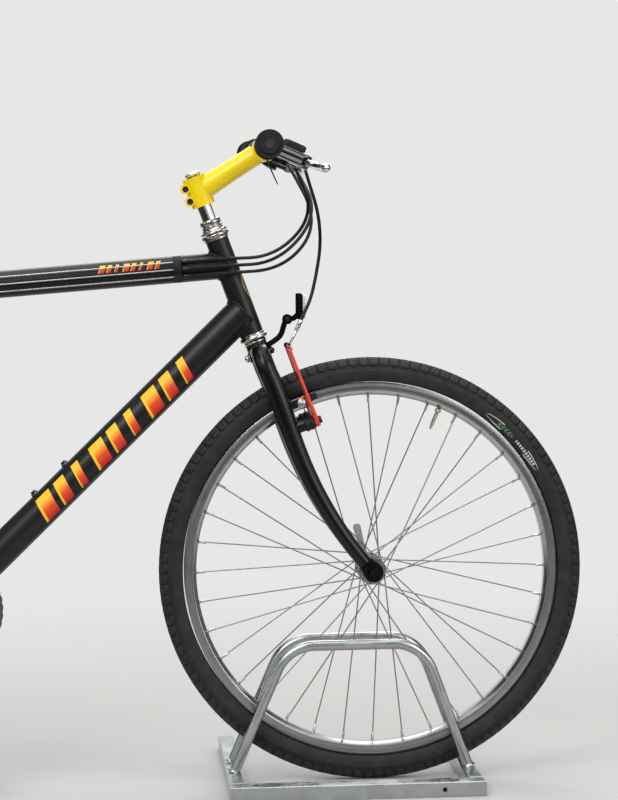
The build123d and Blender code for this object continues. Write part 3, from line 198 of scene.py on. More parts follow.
class Value:
    """A shader socket that takes part in Python expressions on numbers."""

    def __init__(self, surface: "Nodes", socket: bpy.types.NodeSocket) -> None:
        """Keep the socket and the surface whose nodes it belongs to."""
        self.surface = surface
        self.socket = socket

    def math(self, operation: str, *others: Any) -> "Value":
        """Math node of this value and others.

        Args:
            operation: the Math node's operation.
            others: further values or numbers, in the order of the node's inputs.

        Returns:
            The node's result.
        """
        return self.surface.node("ShaderNodeMath", {"operation": operation}, dict(enumerate((self, *others))))

    def __add__(self, other: Any) -> "Value":
        """Sum."""
        return self.math("ADD", other)

    def __mul__(self, other: Any) -> "Value":
        """Product."""
        return self.math("MULTIPLY", other)

    def __sub__(self, other: Any) -> "Value":
        """Difference."""
        return self.math("SUBTRACT", other)

    def __rsub__(self, other: Any) -> "Value":
        """Difference from a number."""
        return self.math("MULTIPLY", -1.0) + other

    def __truediv__(self, other: Any) -> "Value":
        """Quotient."""
        return self.math("DIVIDE", other)

    def __pow__(self, other: Any) -> "Value":
        """Power."""
        return self.math("POWER", other)

    def __gt__(self, other: Any) -> "Value":
        """1 where this is greater, otherwise 0."""
        return self.math("GREATER_THAN", other)

    def __lt__(self, other: Any) -> "Value":
        """1 where this is less, otherwise 0."""
        return self.math("LESS_THAN", other)

    def __abs__(self) -> "Value":
        """Size without sign."""
        return self.math("ABSOLUTE")

    def sin(self) -> "Value":
        """Sine."""
        return self.math("SINE")

    def fract(self) -> "Value":
        """Part after the point."""
        return self.math("FRACT")

    def smooth(self, low: float, high: float) -> "Value":
        """Share that is 0 below low and 1 above high, smooth in between.

        Args:
            low: where it leaves 0; when this is above high, the share falls instead.
            high: where it reaches 1.

        Returns:
            The share.
        """
        settings = {"interpolation_type": "SMOOTHSTEP"}
        names = {"Value": self, "From Min": min(low, high), "From Max": max(low, high)}
        rise = self.surface.node("ShaderNodeMapRange", settings, names)
        return rise if low < high else 1.0 - rise


class Nodes:
    """A shader's node tree, with its nodes made from Python values."""

    def __init__(self, tree: bpy.types.NodeTree) -> None:
        """Empty the tree."""
        self.tree = tree
        self.tree.nodes.clear()

    def put(self, socket: bpy.types.NodeSocket, value: Any) -> None:
        """Link a value to a socket, or set the socket.

        Args:
            socket: the input to feed.
            value: a shader value, or a number or colour.
        """
        if isinstance(value, Value):
            self.tree.links.new(value.socket, socket)
        elif isinstance(value, (tuple, list)) and socket.type == "RGBA":
            socket.default_value = (*value, 1.0)
        else:
            socket.default_value = value

    def node(
        self,
        kind: str,
        settings: dict[str, Any] | None = None,
        inputs: dict[Any, Any] | None = None,
        out: Any = 0,
    ) -> Value:
        """Any node.

        Args:
            kind: the node's type.
            settings: its properties, and "stops" for a ramp's list of (place, colour).
            inputs: values, numbers or colours by socket name or number.
            out: name or number of the output that is returned.

        Returns:
            The chosen output.
        """
        made = self.tree.nodes.new(kind)
        for name, value in (settings or {}).items():
            if name == "stops":
                points = made.color_ramp.elements
                while len(points) < len(value):
                    points.new(1.0)
                for point, (place, colour) in zip(points, value):
                    point.position = place
                    point.color = (*colour, 1.0)
            else:
                setattr(made, name, value)
        for key, value in (inputs or {}).items():
            self.put(made.inputs[key], value)
        return Value(self, made.outputs[out])

    def mix(self, share: Value, low: Any, high: Any) -> Value:
        """Colour between two, by a share from 0 to 1."""
        return self.node("ShaderNodeMix", {"data_type": "RGBA"}, {0: share, 6: low, 7: high}, 2)

    def blend(self, share: Value, low: Value, high: Value) -> Value:
        """Shader between two, by a share from 0 to 1."""
        return self.node("ShaderNodeMixShader", None, {0: share, 1: low, 2: high})


class Surface(Nodes):
    """A material on one Principled shader."""

    def __init__(self, name: str, **sockets: Any) -> None:
        """Start a material.

        Args:
            name: the material's name.
            sockets: constant values of the shader, with _ for the blanks in their names.
        """
        self.material = bpy.data.materials.new(name)
        self.material.use_nodes = True
        super().__init__(self.material.node_tree)
        self.out = self.tree.nodes.new("ShaderNodeOutputMaterial").inputs["Surface"]
        self.shader = self.tree.nodes.new("ShaderNodeBsdfPrincipled")
        self.tree.links.new(self.shader.outputs[0], self.out)
        self.set(**sockets)

    def set(self, **sockets: Any) -> None:
        """Set or link the shader's sockets, with _ for the blanks in their names."""
        for name, value in sockets.items():
            self.put(self.shader.inputs[name.replace("_", " ")], value)

    def where(self) -> Value:
        """Object coordinates."""
        return self.node("ShaderNodeTexCoord", out="Object")

    def xyz(self, centre: Sequence[float] = (0, 0, 0)) -> tuple[Value, Value, Value]:
        """Object coordinates one by one.

        Args:
            centre: the point that they are measured from.

        Returns:
            The three coordinates.
        """
        where = self.where()
        parts = [self.node("ShaderNodeSeparateXYZ", None, {0: where}, i) for i in range(3)]
        return tuple(p - float(c) if c else p for p, c in zip(parts, centre))

    def along(self, origin: Array, direction: Array) -> Value:
        """Distance along a direction: the place's dot product with it, less that of the start.

        Args:
            origin: the point where the distance is 0.
            direction: the direction, of length 1.

        Returns:
            The distance in metres.
        """
        factors = {0: self.where(), 1: tuple(map(float, direction))}
        dot = self.node("ShaderNodeVectorMath", {"operation": "DOT_PRODUCT"}, factors, "Value")
        return dot - float(np.dot(origin, direction))

    def noise(self, scale: float, detail: float = 4.0, stretch: Sequence[float] | None = None) -> Value:
        """Noise from 0 to 1 in object space.

        Args:
            scale: features to the metre.
            detail: how many finer layers are added.
            stretch: factors of the scale along X, Y and Z.

        Returns:
            The noise.
        """
        where = self.where()
        if stretch is not None:
            where = self.node("ShaderNodeMapping", None, {"Vector": where, "Scale": tuple(stretch)})
        inputs = {"Vector": where, "Scale": scale, "Detail": detail}
        return self.node("ShaderNodeTexNoise", None, inputs, "Fac")

    def cells(self, scale: float, out: str = "Distance") -> Value:
        """Voronoi cells in object space, at so many to the metre."""
        return self.node("ShaderNodeTexVoronoi", None, {"Vector": self.where(), "Scale": scale}, out)

    def ramp(self, share: Value, stops: list[tuple[float, Colour]]) -> Value:
        """Colour ramp."""
        return self.node("ShaderNodeValToRGB", {"stops": stops}, {0: share})

    def bump(self, height: Value, depth: float) -> None:
        """Let a height from 0 to 1, times a depth in metres, tilt the surface."""
        inputs = {"Strength": 1.0, "Distance": depth, "Height": height}
        self.set(Normal=self.node("ShaderNodeBump", None, inputs))

    def polar(self, centre: Array) -> tuple[Value, Value]:
        """Radius from a wheel's axle and angle from -pi to pi, seen along Y."""
        x, _, z = self.xyz(centre)
        return (x * x + z * z) ** 0.5, z.math("ARCTAN2", x)


class Sheen(Enum):
    """How a paint shines: its roughness and the weight of its clear coat."""

    SATIN = (0.38, 0.05)
    GLOSS = (0.20, 0.6)
    ENAMEL = (0.24, 0.25)


@dataclass(frozen=True)
class Paint:
    """Sprayed paint of slightly uneven tone and gloss."""

    name: str
    colour: Colour
    sheen: Sheen
    shine: float = 0.35

    def surface(self) -> Surface:
        """Build the paint's nodes.

        Returns:
            The finished surface.
        """
        rough, coat = self.sheen.value
        s = Surface(self.name, Coat_Weight=coat, Coat_Roughness=0.06, Specular_IOR_Level=self.shine)
        cloud = s.noise(14.0, 1.0)
        lighter = tuple(min(1.0, c * 1.15 + 0.002) for c in self.colour)
        s.set(Base_Color=s.mix(cloud.smooth(0.35, 0.75) * 0.6, self.colour, lighter))
        s.set(Roughness=cloud * 0.12 + (rough - 0.06))
        return s

    def under(self, name: str) -> tuple[Surface, Value]:
        """Paint that carries a mark.

        Args:
            name: the marked finish's name.

        Returns:
            The paint's nodes, and the colour that the mark is laid over.
        """
        s = self.surface()
        s.material.name = name
        return s, Value(s, s.shader.inputs["Base Color"].links[0].from_socket)


@dataclass(frozen=True)
class Metal:
    """Bare metal of slightly uneven gloss, with a little grime."""

    name: str
    colour: Colour
    rough: float
    grain: tuple[float, float, float] = (1.0, 1.0, 1.0)
    grime: Colour = (0.16, 0.14, 0.12)

    def surface(self) -> Surface:
        """Build the metal's nodes.

        Returns:
            The finished surface.
        """
        s = Surface(self.name, Metallic=1.0, Specular_IOR_Level=0.5)
        fine = s.noise(220.0, 1.0, self.grain)
        dirt = s.noise(36.0, 1.5).smooth(0.58, 0.85)
        s.set(Base_Color=s.mix(dirt * 0.4, self.colour, self.grime))
        s.set(Roughness=fine * 0.04 + dirt * 0.12 + (self.rough - 0.02))
        return s


@dataclass(frozen=True)
class Moulded:
    """Moulded plastic or rubber with a fine grain."""

    name: str
    colour: Colour
    rough: float
    grain: float = 2200.0
    depth: float = 0.00004
    shine: float = 0.3

    def surface(self) -> Surface:
        """Build the moulding's nodes.

        Returns:
            The finished surface.
        """
        s = Surface(self.name, Specular_IOR_Level=self.shine)
        cloud = s.noise(24.0, 2.0)
        paler = tuple(c * 1.5 + 0.006 for c in self.colour)
        s.set(Base_Color=s.mix(cloud.smooth(0.4, 0.8), self.colour, paler))
        s.set(Roughness=cloud * 0.16 + (self.rough - 0.08))
        s.bump(1.0 - s.cells(self.grain), self.depth)
        return s


@dataclass(frozen=True)
class Zinc:
    """Galvanised steel: crystals of slightly different greys, white bloom and a few rust specks."""

    name: str = "galvanised_zinc"
    colour: Colour = (0.43, 0.46, 0.445)

    def surface(self) -> Surface:
        """Build the zinc's nodes.

        Returns:
            The finished surface.
        """
        s = Surface(self.name, Metallic=1.0)
        spangle = s.node("ShaderNodeSeparateXYZ", None, {0: s.cells(110.0, out="Color")})
        bloom = s.noise(26.0, 3.0).smooth(0.45, 0.72)
        streak = s.noise(60.0, 2.0, (0.15, 1.0, 1.0))
        pale = tuple(c * 1.12 for c in self.colour)
        dark = tuple(c * 0.80 for c in self.colour)
        tone = s.mix(spangle * 0.25 + streak * 0.65, dark, pale)
        tone = s.mix(bloom * 0.25, tone, (0.56, 0.58, 0.565))
        rust = s.noise(120.0, 8.0).smooth(0.76, 0.84)
        s.set(Base_Color=s.mix(rust * 0.6, tone, (0.16, 0.10, 0.06)))
        s.set(Roughness=spangle * 0.05 + bloom * 0.14 + rust * 0.2 + 0.22)
        s.bump(spangle * 0.3 + s.noise(300.0, 2.0) * 0.7, 0.00002)
        return s


@dataclass(frozen=True)
class RimAlloy:
    """Anodised rim: a worn grey, slightly bowed brake track between bright turned edges, with a thin dark
    line of painted shade along each edge of the track in place of grooves.
    """

    name: str
    centre: tuple[float, float, float]
    track_low: float = 0.2741
    track_high: float = 0.2843
    edge_shade_half: float = 0.00035
    bow_half: float = 0.0052

    def surface(self) -> Surface:
        """Build the rim's nodes from the distance to the axle.

        Returns:
            The finished surface.
        """
        s = Surface(self.name, Metallic=1.0)
        r, _ = s.polar(np.array(self.centre))
        low, high = self.track_low, self.track_high
        track = r.smooth(low - 0.0003, low + 0.0002) * r.smooth(high + 0.0003, high - 0.0002)
        # painted shade: thin dark lines at the track's inner and outer edges stand in for the shade inside
        # grooves there
        line = (abs(r - low) < self.edge_shade_half).math("MAXIMUM", abs(r - high) < self.edge_shade_half)
        bow = (r - (low + high) / 2) / self.bow_half
        blotch = s.noise(30.0, 2.0)
        worn = s.mix(blotch, (0.26, 0.26, 0.265), (0.36, 0.36, 0.365))
        tone = s.mix(track, (0.50, 0.505, 0.515), worn)
        s.set(Base_Color=s.mix(line * 0.8, tone, (0.05, 0.05, 0.05)))
        s.set(Roughness=track * 0.08 + blotch * 0.08 + 0.18)
        s.bump(1.0 - bow * bow, 0.0007)
        return s


@dataclass(frozen=True)
class TyreRubber:
    """Charcoal rubber with a ribbed sidewall, dust in its tread, painted shade in its grooves and a plain
    leaf-shaped label.

    Attributes:
        label: the label's place, as an angle about the axle.
        label_turn: half its length, as an angle.
        label_r: its middle's distance from the axle.
        label_half: half its height.
    """

    name: str
    centre: tuple[float, float, float]
    label: float
    label_turn: float = 0.200
    label_r: float = 0.2955
    label_half: float = 0.0060

    def surface(self) -> Surface:
        """Build the tyre's nodes from the distance to the axle and the angle about it.

        Returns:
            The finished surface.
        """
        s = Surface(self.name, Specular_IOR_Level=0.35)
        r, angle = s.polar(np.array(self.centre))
        dust = s.noise(45.0, 6.0)
        tread = r.smooth(0.3095, 0.3150)
        lines = ((r * 2600.0).sin() * 0.5 + 0.5) * (1.0 - tread)
        tone = s.mix(dust.smooth(0.35, 0.75), (0.011, 0.011, 0.0115), (0.023, 0.0225, 0.022))
        brown = tread * s.noise(160.0, 6.0).smooth(0.45, 0.75)
        tone = s.mix(brown * 0.5, tone, (0.045, 0.034, 0.027))
        scuff = s.noise(34.0, 7.0).smooth(0.66, 0.74) * (1.0 - tread)
        tone = s.mix(scuff * 0.25, tone, (0.06, 0.06, 0.06))
        # painted shade: the tread's grooves and a crescent just outside each block's bowed edge are darkened
        # almost to black
        groove = s.node("ShaderNodeAttribute", {"attribute_name": "groove"}, out="Fac")
        tone = s.mix(groove * 0.85, tone, (0.0025, 0.0025, 0.0025))
        place = (angle - self.label) / self.label_turn
        across = (r - self.label_r) / self.label_half
        leaf = abs(across) / (1.0 - place * place).math("MAXIMUM", 0.02) ** 0.4
        inside = (abs(place) < 1.0) * (leaf < 1.0)
        rim = inside * (leaf > 0.74) * (abs(place) > 0.45)
        front = (place > 0.1) * (place < 0.62) * (leaf < 0.55)
        chevron = ((place * 9.0 + abs(across) * 1.2).fract() < 0.42) * front
        back = (place > -0.83) * (place < -0.05) * (abs(across) < 0.34)
        dots = ((place * 12.0).fract() < 0.62) * back
        tone = s.mix(rim.math("MAXIMUM", dots) * 0.85, tone, (0.62, 0.63, 0.61))
        tone = s.mix(chevron * 0.85, tone, (0.13, 0.30, 0.13))
        s.set(Base_Color=tone, Roughness=dust * 0.2 + brown * 0.1 + 0.52)
        s.bump(lines * 0.7 + s.noise(700.0, 3.0) * 0.3, 0.00025)
        return s


@dataclass(frozen=True)
class BarDecal:
    """Row of slanted bars on a tube's sides, from yellow over orange to red, on the frame's paint.

    Attributes:
        origin: a point of the tube's axis, from which lengths are measured.
        direction: the tube's direction.
        start: where the row begins along the tube.
        pitch: distance from bar to bar.
        bars: how many bars there are.
        low: lower edge of the bars, across the tube.
        high: upper edge of the bars.
        slant: shift along the tube for each unit of height.
        fill: share of the pitch that the widest bar takes.
    """

    name: str
    paint: Paint
    origin: tuple[float, float, float]
    direction: tuple[float, float, float]
    start: float
    pitch: float
    bars: int
    low: float
    high: float
    slant: float
    fill: float

    def surface(self) -> Surface:
        """Lay the bars: they are where the slanted length, counted in pitches, has a small fraction.

        Returns:
            The finished surface.
        """
        s, base = self.paint.under(self.name)
        d = unit(np.array(self.direction))
        across = np.array([-d[2], 0.0, d[0]])
        length = s.along(np.array(self.origin), d)
        height = s.along(np.array(self.origin), across)
        share = (height - self.low) / (self.high - self.low)
        place = (length - height * self.slant - self.start) / self.pitch
        inside = (place > 0.0) * (place < float(self.bars)) * (share > 0.0) * (share < 1.0)
        wide = ((place / 3.0).fract() * 3.0).math("FLOOR") * -0.18 + self.fill
        part = place.fract()
        bar = inside * part.math("LESS_THAN", wide)
        edge = bar * part.math("LESS_THAN", wide * 0.16)
        tone = s.ramp(share, [
            (0.0, (0.60, 0.008, 0.006)),
            (0.42, (0.80, 0.075, 0.02)),
            (0.60, (0.92, 0.30, 0.02)),
            (0.78, (0.95, 0.52, 0.012)),
            (1.0, (0.95, 0.60, 0.015)),
        ])
        tone = s.mix(edge, tone, (0.95, 0.56, 0.012))
        worn = s.noise(300.0, 5.0).smooth(0.70, 0.76)
        s.set(Base_Color=s.mix(bar * (1.0 - worn * 0.7), base, tone))
        return s


@dataclass(frozen=True)
class BadgePaint:
    """Frame paint with a plain oval gold line on the front of the head tube, and a thin one within it."""

    name: str
    paint: Paint
    middle_s: float
    half_w: float
    half_h: float

    def surface(self) -> Surface:
        """Lay the line where the place's distance from the oval's middle, in half axes, is nearly 1.

        Returns:
            The finished surface.
        """
        s, base = self.paint.under(self.name)
        middle = AT.steer(self.middle_s)
        h = s.along(middle, AT.up) / self.half_h
        w = s.along(middle, SIDE) / self.half_w
        ahead = s.along(middle, AT.fwd) > 0.0
        out = (h * h + w * w) ** 0.5
        line = (out < 1.0) * (out > 0.84) * ahead
        inner = (abs(out - 0.62) < 0.04) * ahead
        s.set(Base_Color=s.mix(line.math("MAXIMUM", inner) * 0.85, base, (0.42, 0.29, 0.10)))
        return s


@dataclass(frozen=True)
class AxleSteel:
    """Quick release: a dark nut on the right and a bright lever on the left."""

    name: str = "axle_steel"

    def surface(self) -> Surface:
        """Build the steel's nodes: its tone follows the side of the bicycle.

        Returns:
            The finished surface.
        """
        s = Surface(self.name, Metallic=1.0)
        _, y, _ = s.xyz()
        left = y.smooth(-0.002, 0.002)
        fine = s.noise(180.0, 1.0)
        s.set(Base_Color=s.mix(left, (0.030, 0.030, 0.031), (0.66, 0.66, 0.67)))
        s.set(Roughness=left * 0.16 + fine * 0.05 + 0.22)
        return s


@dataclass(frozen=True)
class Lens:
    """Clear reflector with rows of small prisms."""

    name: str = "reflector_lens"

    def surface(self) -> Surface:
        """Build the lens: two crossed waves make the prisms.

        Returns:
            The finished surface.
        """
        s = Surface(self.name, Roughness=0.08, Coat_Weight=1.0, Metallic=0.35)
        _, y, z = s.xyz()
        prism = ((y * 1500.0 + z * 900.0).sin() * (y * 1500.0 - z * 900.0).sin()) * 0.5 + 0.5
        s.set(Base_Color=s.mix(prism, (0.55, 0.56, 0.57), (0.86, 0.87, 0.88)))
        s.bump(prism, 0.0002)
        return s


@dataclass(frozen=True)
class Leather:
    """Saddle cover with a pebbled grain, shinier where it is sat on."""

    name: str = "saddle_cover"

    def surface(self) -> Surface:
        """Build the cover's nodes.

        Returns:
            The finished surface.
        """
        s = Surface(self.name, Sheen_Weight=0.2)
        pebble = s.cells(650.0)
        wear = s.noise(22.0, 4.0)
        s.set(Base_Color=s.mix(wear, (0.011, 0.011, 0.012), (0.026, 0.025, 0.025)))
        s.set(Roughness=wear * -0.2 + 0.6)
        s.bump(1.0 - pebble, 0.0003)
        return s


def surface_mesh(
    name: str, points: Array, wrap_u: bool, wrap_v: bool, caps: bool = False
) -> bpy.types.Object:
    """Mesh of quads over a grid of points.

    A copy whose faces point inwards on the whole, which is where the sum of their areas times their way out
    from its middle is negative, has its columns turned round.

    Args:
        name: the object's name.
        points: array (copies, rows, columns, 3), or (rows, columns, 3) for one copy.
        wrap_u: whether the last row joins the first.
        wrap_v: whether the last column joins the first.
        caps: whether the first and last rows are closed by a face.

    Returns:
        The new object, at the origin.
    """
    points = points if points.ndim == 4 else points[None]
    k, n, m, _ = points.shape
    spread = points - points.mean((1, 2), keepdims=True)
    across, along = np.roll(spread, -1, 2) - spread, np.roll(spread, -1, 1) - spread
    inward = np.einsum("knmi,knmi->k", spread[:, :-1], np.cross(across, along)[:, :-1]) < 0
    LOG.debug("%s: %d of %d copies turned outwards", name, inward.sum(), k)
    points = np.where(inward[:, None, None, None], points[:, :, ::-1], points)
    ids = np.arange(k * n * m).reshape(k, n, m)
    rows = ids if not wrap_u else np.concatenate([ids, ids[:, :1]], 1)
    grid = rows if not wrap_v else np.concatenate([rows, rows[:, :, :1]], 2)
    corners = [grid[:, :-1, :-1], grid[:, :-1, 1:], grid[:, 1:, 1:], grid[:, 1:, :-1]]
    faces = np.stack(corners, -1).reshape(-1, 4).tolist()
    if caps:
        faces += ids[:, 0, ::-1].tolist() + ids[:, -1].tolist()
    mesh = bpy.data.meshes.new(name)
    mesh.from_pydata(points.reshape(-1, 3).tolist(), [], faces)
    mesh.polygons.foreach_set("use_smooth", np.ones(len(mesh.polygons), bool))
    mesh.update()
    made = bpy.data.objects.new(name, mesh)
    bpy.context.scene.collection.objects.link(made)
    return made


def face_frames(axes: Array) -> Array:
    """Frames round axes: the first row is square to a helper and the axis, the second to both.

    Args:
        axes: directions (k, 3), or one.

    Returns:
        Frames (k, 3, 3) whose third row is the axis.
    """
    axes = unit(np.atleast_2d(np.asarray(axes, float)))
    helper = np.where(np.abs(axes[:, 1:2]) < 0.8, SIDE, AHEAD)
    first = unit(np.cross(helper, axes))
    return np.stack([first, np.cross(axes, first), axes], 1)


def turned(
    name: str,
    profile: Sequence[tuple[float, float]],
    places: Any,
    axes: Any,
    sides: int = 24,
    hexed: Sequence[int] = (),
) -> bpy.types.Object:
    """Turned pieces: a profile of (radius, height) carried round each axis.

    Args:
        name: the object's name.
        profile: points from the foot to the top; the two ends are closed.
        places: points (k, 3) of the feet.
        axes: directions (k, 3), or one for all.
        sides: points round the axis.
        hexed: rows of the profile that are hexagons, whose radius is that of their flats.

    Returns:
        The object with all copies.
    """
    places = np.atleast_2d(np.asarray(places, float))
    frames = face_frames(np.broadcast_to(np.asarray(axes, float), places.shape))
    rows = np.asarray(profile, float)
    angle = around(sides)
    flat = 1 / np.cos((angle + np.pi / 6) % (np.pi / 3) - np.pi / 6)
    radius = rows[:, :1] * np.where(np.isin(np.arange(len(rows)), hexed)[:, None], flat, 1.0)
    height = np.broadcast_to(rows[:, 1:], radius.shape)
    local = np.stack([radius * np.cos(angle), radius * np.sin(angle), height], -1)
    points = np.einsum("nmi,kij->knmj", local, frames) + places[:, None, None]
    return surface_mesh(name, points, False, True, caps=True)


def tube(
    name: str, paths: Array, radius: Any, sides: int = 12, closed: bool = False, helper: Array = SIDE
) -> bpy.types.Object:
    """Round bars along paths: a circle square to the path's direction at each point.

    Args:
        name: the object's name.
        paths: points (n, 3) of one path, or (k, n, 3) of several.
        radius: one radius or n of them.
        sides: points round the bar.
        closed: whether a path is a loop.
        helper: a direction that the paths never run along.

    Returns:
        The new object.
    """
    paths = paths if paths.ndim == 3 else paths[None]
    steps = np.roll(paths, -1, 1) - np.roll(paths, 1, 1) if closed else np.gradient(paths, axis=1)
    ahead = unit(steps)
    first = unit(np.cross(helper, ahead))
    second = np.cross(ahead, first)
    angle = around(sides)[:, None]
    ring = first[:, :, None] * np.cos(angle) + second[:, :, None] * np.sin(angle)
    size = np.broadcast_to(np.asarray(radius, float), paths.shape[1])
    points = paths[:, :, None] + ring * size[:, None, None]
    return surface_mesh(name, points, closed, True, caps=not closed)


def pillow(centre: Array, frame_rows: Array, half: tuple[float, float, float], power: float = 0.4) -> Array:
    """Rounded box: a ball's points with each of its sines and cosines raised to a power below 1.

    Args:
        centre: the box's middle.
        frame_rows: its three directions.
        half: half its sizes along them.
        power: how round it is; 1 is an ellipsoid.

    Returns:
        Points of a grid from one end of the third direction to the other.
    """
    def bow(wave: Array) -> Array:
        """Power of the wave's size, with the wave's sign."""
        return np.sign(wave) * np.abs(wave) ** power

    lift = np.linspace(-0.49 * np.pi, 0.49 * np.pi, 17)[:, None]
    turn = around(40)[None]
    flat, rise = bow(np.cos(lift)), bow(np.sin(lift))
    ball = np.stack(np.broadcast_arrays(flat * bow(np.cos(turn)), flat * bow(np.sin(turn)), rise), -1)
    return centre + (ball * np.array(half)) @ frame_rows


def pillows(name: str, grids: Sequence[Array]) -> bpy.types.Object:
    """Mesh of several rounded boxes."""
    return surface_mesh(name, np.stack(grids), False, True, caps=True)


def nurbs_line(points: Array, resolution: int = 12) -> Array:
    """Smooth NURBS line of the third order, which begins and ends at its outer points.

    Args:
        points: control points (n, 3).
        resolution: steps between two of them.

    Returns:
        Points of the line.
    """
    curve = bpy.data.curves.new("route", "CURVE")
    curve.dimensions = "3D"
    spline = curve.splines.new("NURBS")
    spline.points.add(len(points) - 1)
    spline.points.foreach_set("co", np.hstack([points, np.ones((len(points), 1))]).ravel())
    spline.order_u = 3
    spline.use_endpoint_u = True
    spline.resolution_u = resolution
    holder = bpy.data.objects.new("route", curve)
    mesh = bpy.data.meshes.new_from_object(holder)
    line = np.empty(len(mesh.vertices) * 3)
    mesh.vertices.foreach_get("co", line)
    bpy.data.objects.remove(holder)
    bpy.data.meshes.remove(mesh)
    return line.reshape(-1, 3)


@dataclass
class Finishes:
    """All finishes by name, each built once."""

    made: dict[str, bpy.types.Material] = field(default_factory=dict)

    def add(self, finish: Any) -> bpy.types.Material:
        """Material of a finish, built at its first use.

        Args:
            finish: the finish.

        Returns:
            Its material.
        """
        if finish.name not in self.made:
            self.made[finish.name] = finish.surface().material
        return self.made[finish.name]


FRAME_PAINT = Paint("frame_satin_black", (0.0055, 0.0055, 0.006), Sheen.SATIN)
FORK_PAINT = Paint("fork_gloss_black", (0.003, 0.003, 0.0032), Sheen.ENAMEL, 0.2)
STEM_PAINT = Paint("stem_yellow", (0.88, 0.64, 0.004), Sheen.ENAMEL)
RED = Paint("brake_red", (0.60, 0.040, 0.016), Sheen.GLOSS)
CHROME = Metal("chrome_plate", (0.78, 0.78, 0.785), 0.10)
ALLOY = Metal("polished_alloy", (0.70, 0.70, 0.71), 0.20, (1.0, 0.1, 1.0))
WORN_CHROME = Metal("worn_chrome", (0.50, 0.49, 0.465), 0.13, grime=(0.12, 0.085, 0.05))
STEEL = Metal("bright_steel", (0.50, 0.50, 0.51), 0.27)
SPOKE = Metal("stainless_wire", (0.30, 0.295, 0.29), 0.40)
DARK_STEEL = Metal("oiled_steel", (0.17, 0.165, 0.16), 0.36, grime=(0.05, 0.035, 0.025))
VALVE = Metal("nickel_valve", (0.62, 0.55, 0.45), 0.25)
PLASTIC = Moulded("black_plastic", (0.008, 0.008, 0.0083), 0.46)
STRAP = Moulded("strap_plastic", (0.007, 0.007, 0.0072), 0.75, shine=0.0)
GRIP = Moulded("grip_rubber", (0.010, 0.010, 0.0105), 0.62, 1500.0, 0.0002)
PLUG = Moulded("bar_plug", (0.030, 0.030, 0.032), 0.55)
PAD = Moulded("pad_rubber", (0.018, 0.018, 0.019), 0.70)
HOUSING = Moulded("cable_housing", (0.005, 0.005, 0.0052), 0.30, 3000.0, 0.00001)
BOLT = Metal("black_bolt", (0.045, 0.043, 0.042), 0.34)
ZINC = Zinc()

DOWN_DIR = unit(AT.down_head - AT.bracket)
DOWN_DECAL = BarDecal(
    "down_tube_bars", FRAME_PAINT, tuple(AT.bracket), tuple(DOWN_DIR),
    start=0.205, pitch=0.0372, bars=9, low=-0.0180, high=0.0180, slant=0.28, fill=0.74)
TOP_DECAL = BarDecal(
    "top_tube_bars", FRAME_PAINT, tuple(AT.top_head), tuple(AT.top_dir),
    start=-0.196, pitch=0.0122, bars=8, low=0.0035, high=0.0150, slant=0.35, fill=0.72)

CAD_FINISHES: list[tuple[Any, tuple[str, ...]]] = [
    (ZINC, ("stand_rail", "stand_rear_channel", "stand_front_channel", "stand_hoops")),
    (FORK_PAINT, ("fork_crown", "fork_blades")),
    (FRAME_PAINT, ("seat_tube", "bottom_bracket_shell", "chainstays", "seatstays", "rear_dropouts",
                   "cable_stops")),
    (BadgePaint("head_tube_badge", FRAME_PAINT, AT.head_low_s + 0.074, 0.0125, 0.024), ("head_tube",)),
    (DOWN_DECAL, ("down_tube",)),
    (TOP_DECAL, ("top_tube",)),
    (STEM_PAINT, ("stem",)),
    (CHROME, ("headset_races", "headset_cups", "quill_post", "front_brake_noodle", "rear_brake_noodle",
              "seatpost")),
    (ALLOY, ("front_hub", "rear_hub", "brake_levers", "brake_lever_mounts", "crank_arm_right",
             "crank_arm_left", "seat_clamp")),
    (AxleSteel(), ("front_axle", "rear_axle")),
    (RimAlloy("front_rim_alloy", tuple(AT.front)), ("front_rim",)),
    (RimAlloy("rear_rim_alloy", tuple(AT.rear)), ("rear_rim",)),
    (SPOKE, ("front_spokes", "rear_spokes")),
    (STEEL, ("top_tube_cables", "saddle_rails", "front_derailleur", "chainrings")),
    (DARK_STEEL, ("chain", "sprockets", "bottle_bosses")),
    (GRIP, ("grips",)),
    (PAD, ("front_brake_pads", "rear_brake_pads")),
    (RED, ("front_brake_arms", "rear_brake_arms")),
    (PLASTIC, ("handlebar", "shifters", "pedal_right", "pedal_left", "rear_derailleur")),
    (STRAP, ("reflector_bracket",)),
    (HOUSING, ("front_brake_cable", "steering_cables", "rear_cables")),
    (Lens(), ("front_reflector",)),
]


class Dresser:
    """Gives pieces their finish and body, and logs each one."""

    def __init__(self) -> None:
        """Start with no finish built."""
        self.finishes = Finishes()

    def nodes(self) -> None:
        """Finish the part's own solids."""
        for finish, names in CAD_FINISHES:
            for name in names:
                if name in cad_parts:
                    self.paint(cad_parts[name], finish)

    def paint(self, piece: bpy.types.Object, finish: Any) -> None:
        """Replace a piece's materials by one finish.

        Args:
            piece: the piece.
            finish: its finish.
        """
        piece.data.materials.clear()
        piece.data.materials.append(self.finishes.add(finish))
        LOG.info("%s: %s", piece.name, finish.name)

    def add(self, piece: bpy.types.Object, finish: Any, body: str, slot: str) -> bpy.types.Object:
        """Finish a new piece and let it ride on a body.

        Args:
            piece: the new piece.
            finish: its finish.
            body: the body that carries it.
            slot: its slot; not used.

        Returns:
            The piece.
        """
        self.paint(piece, finish)
        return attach(piece, body)


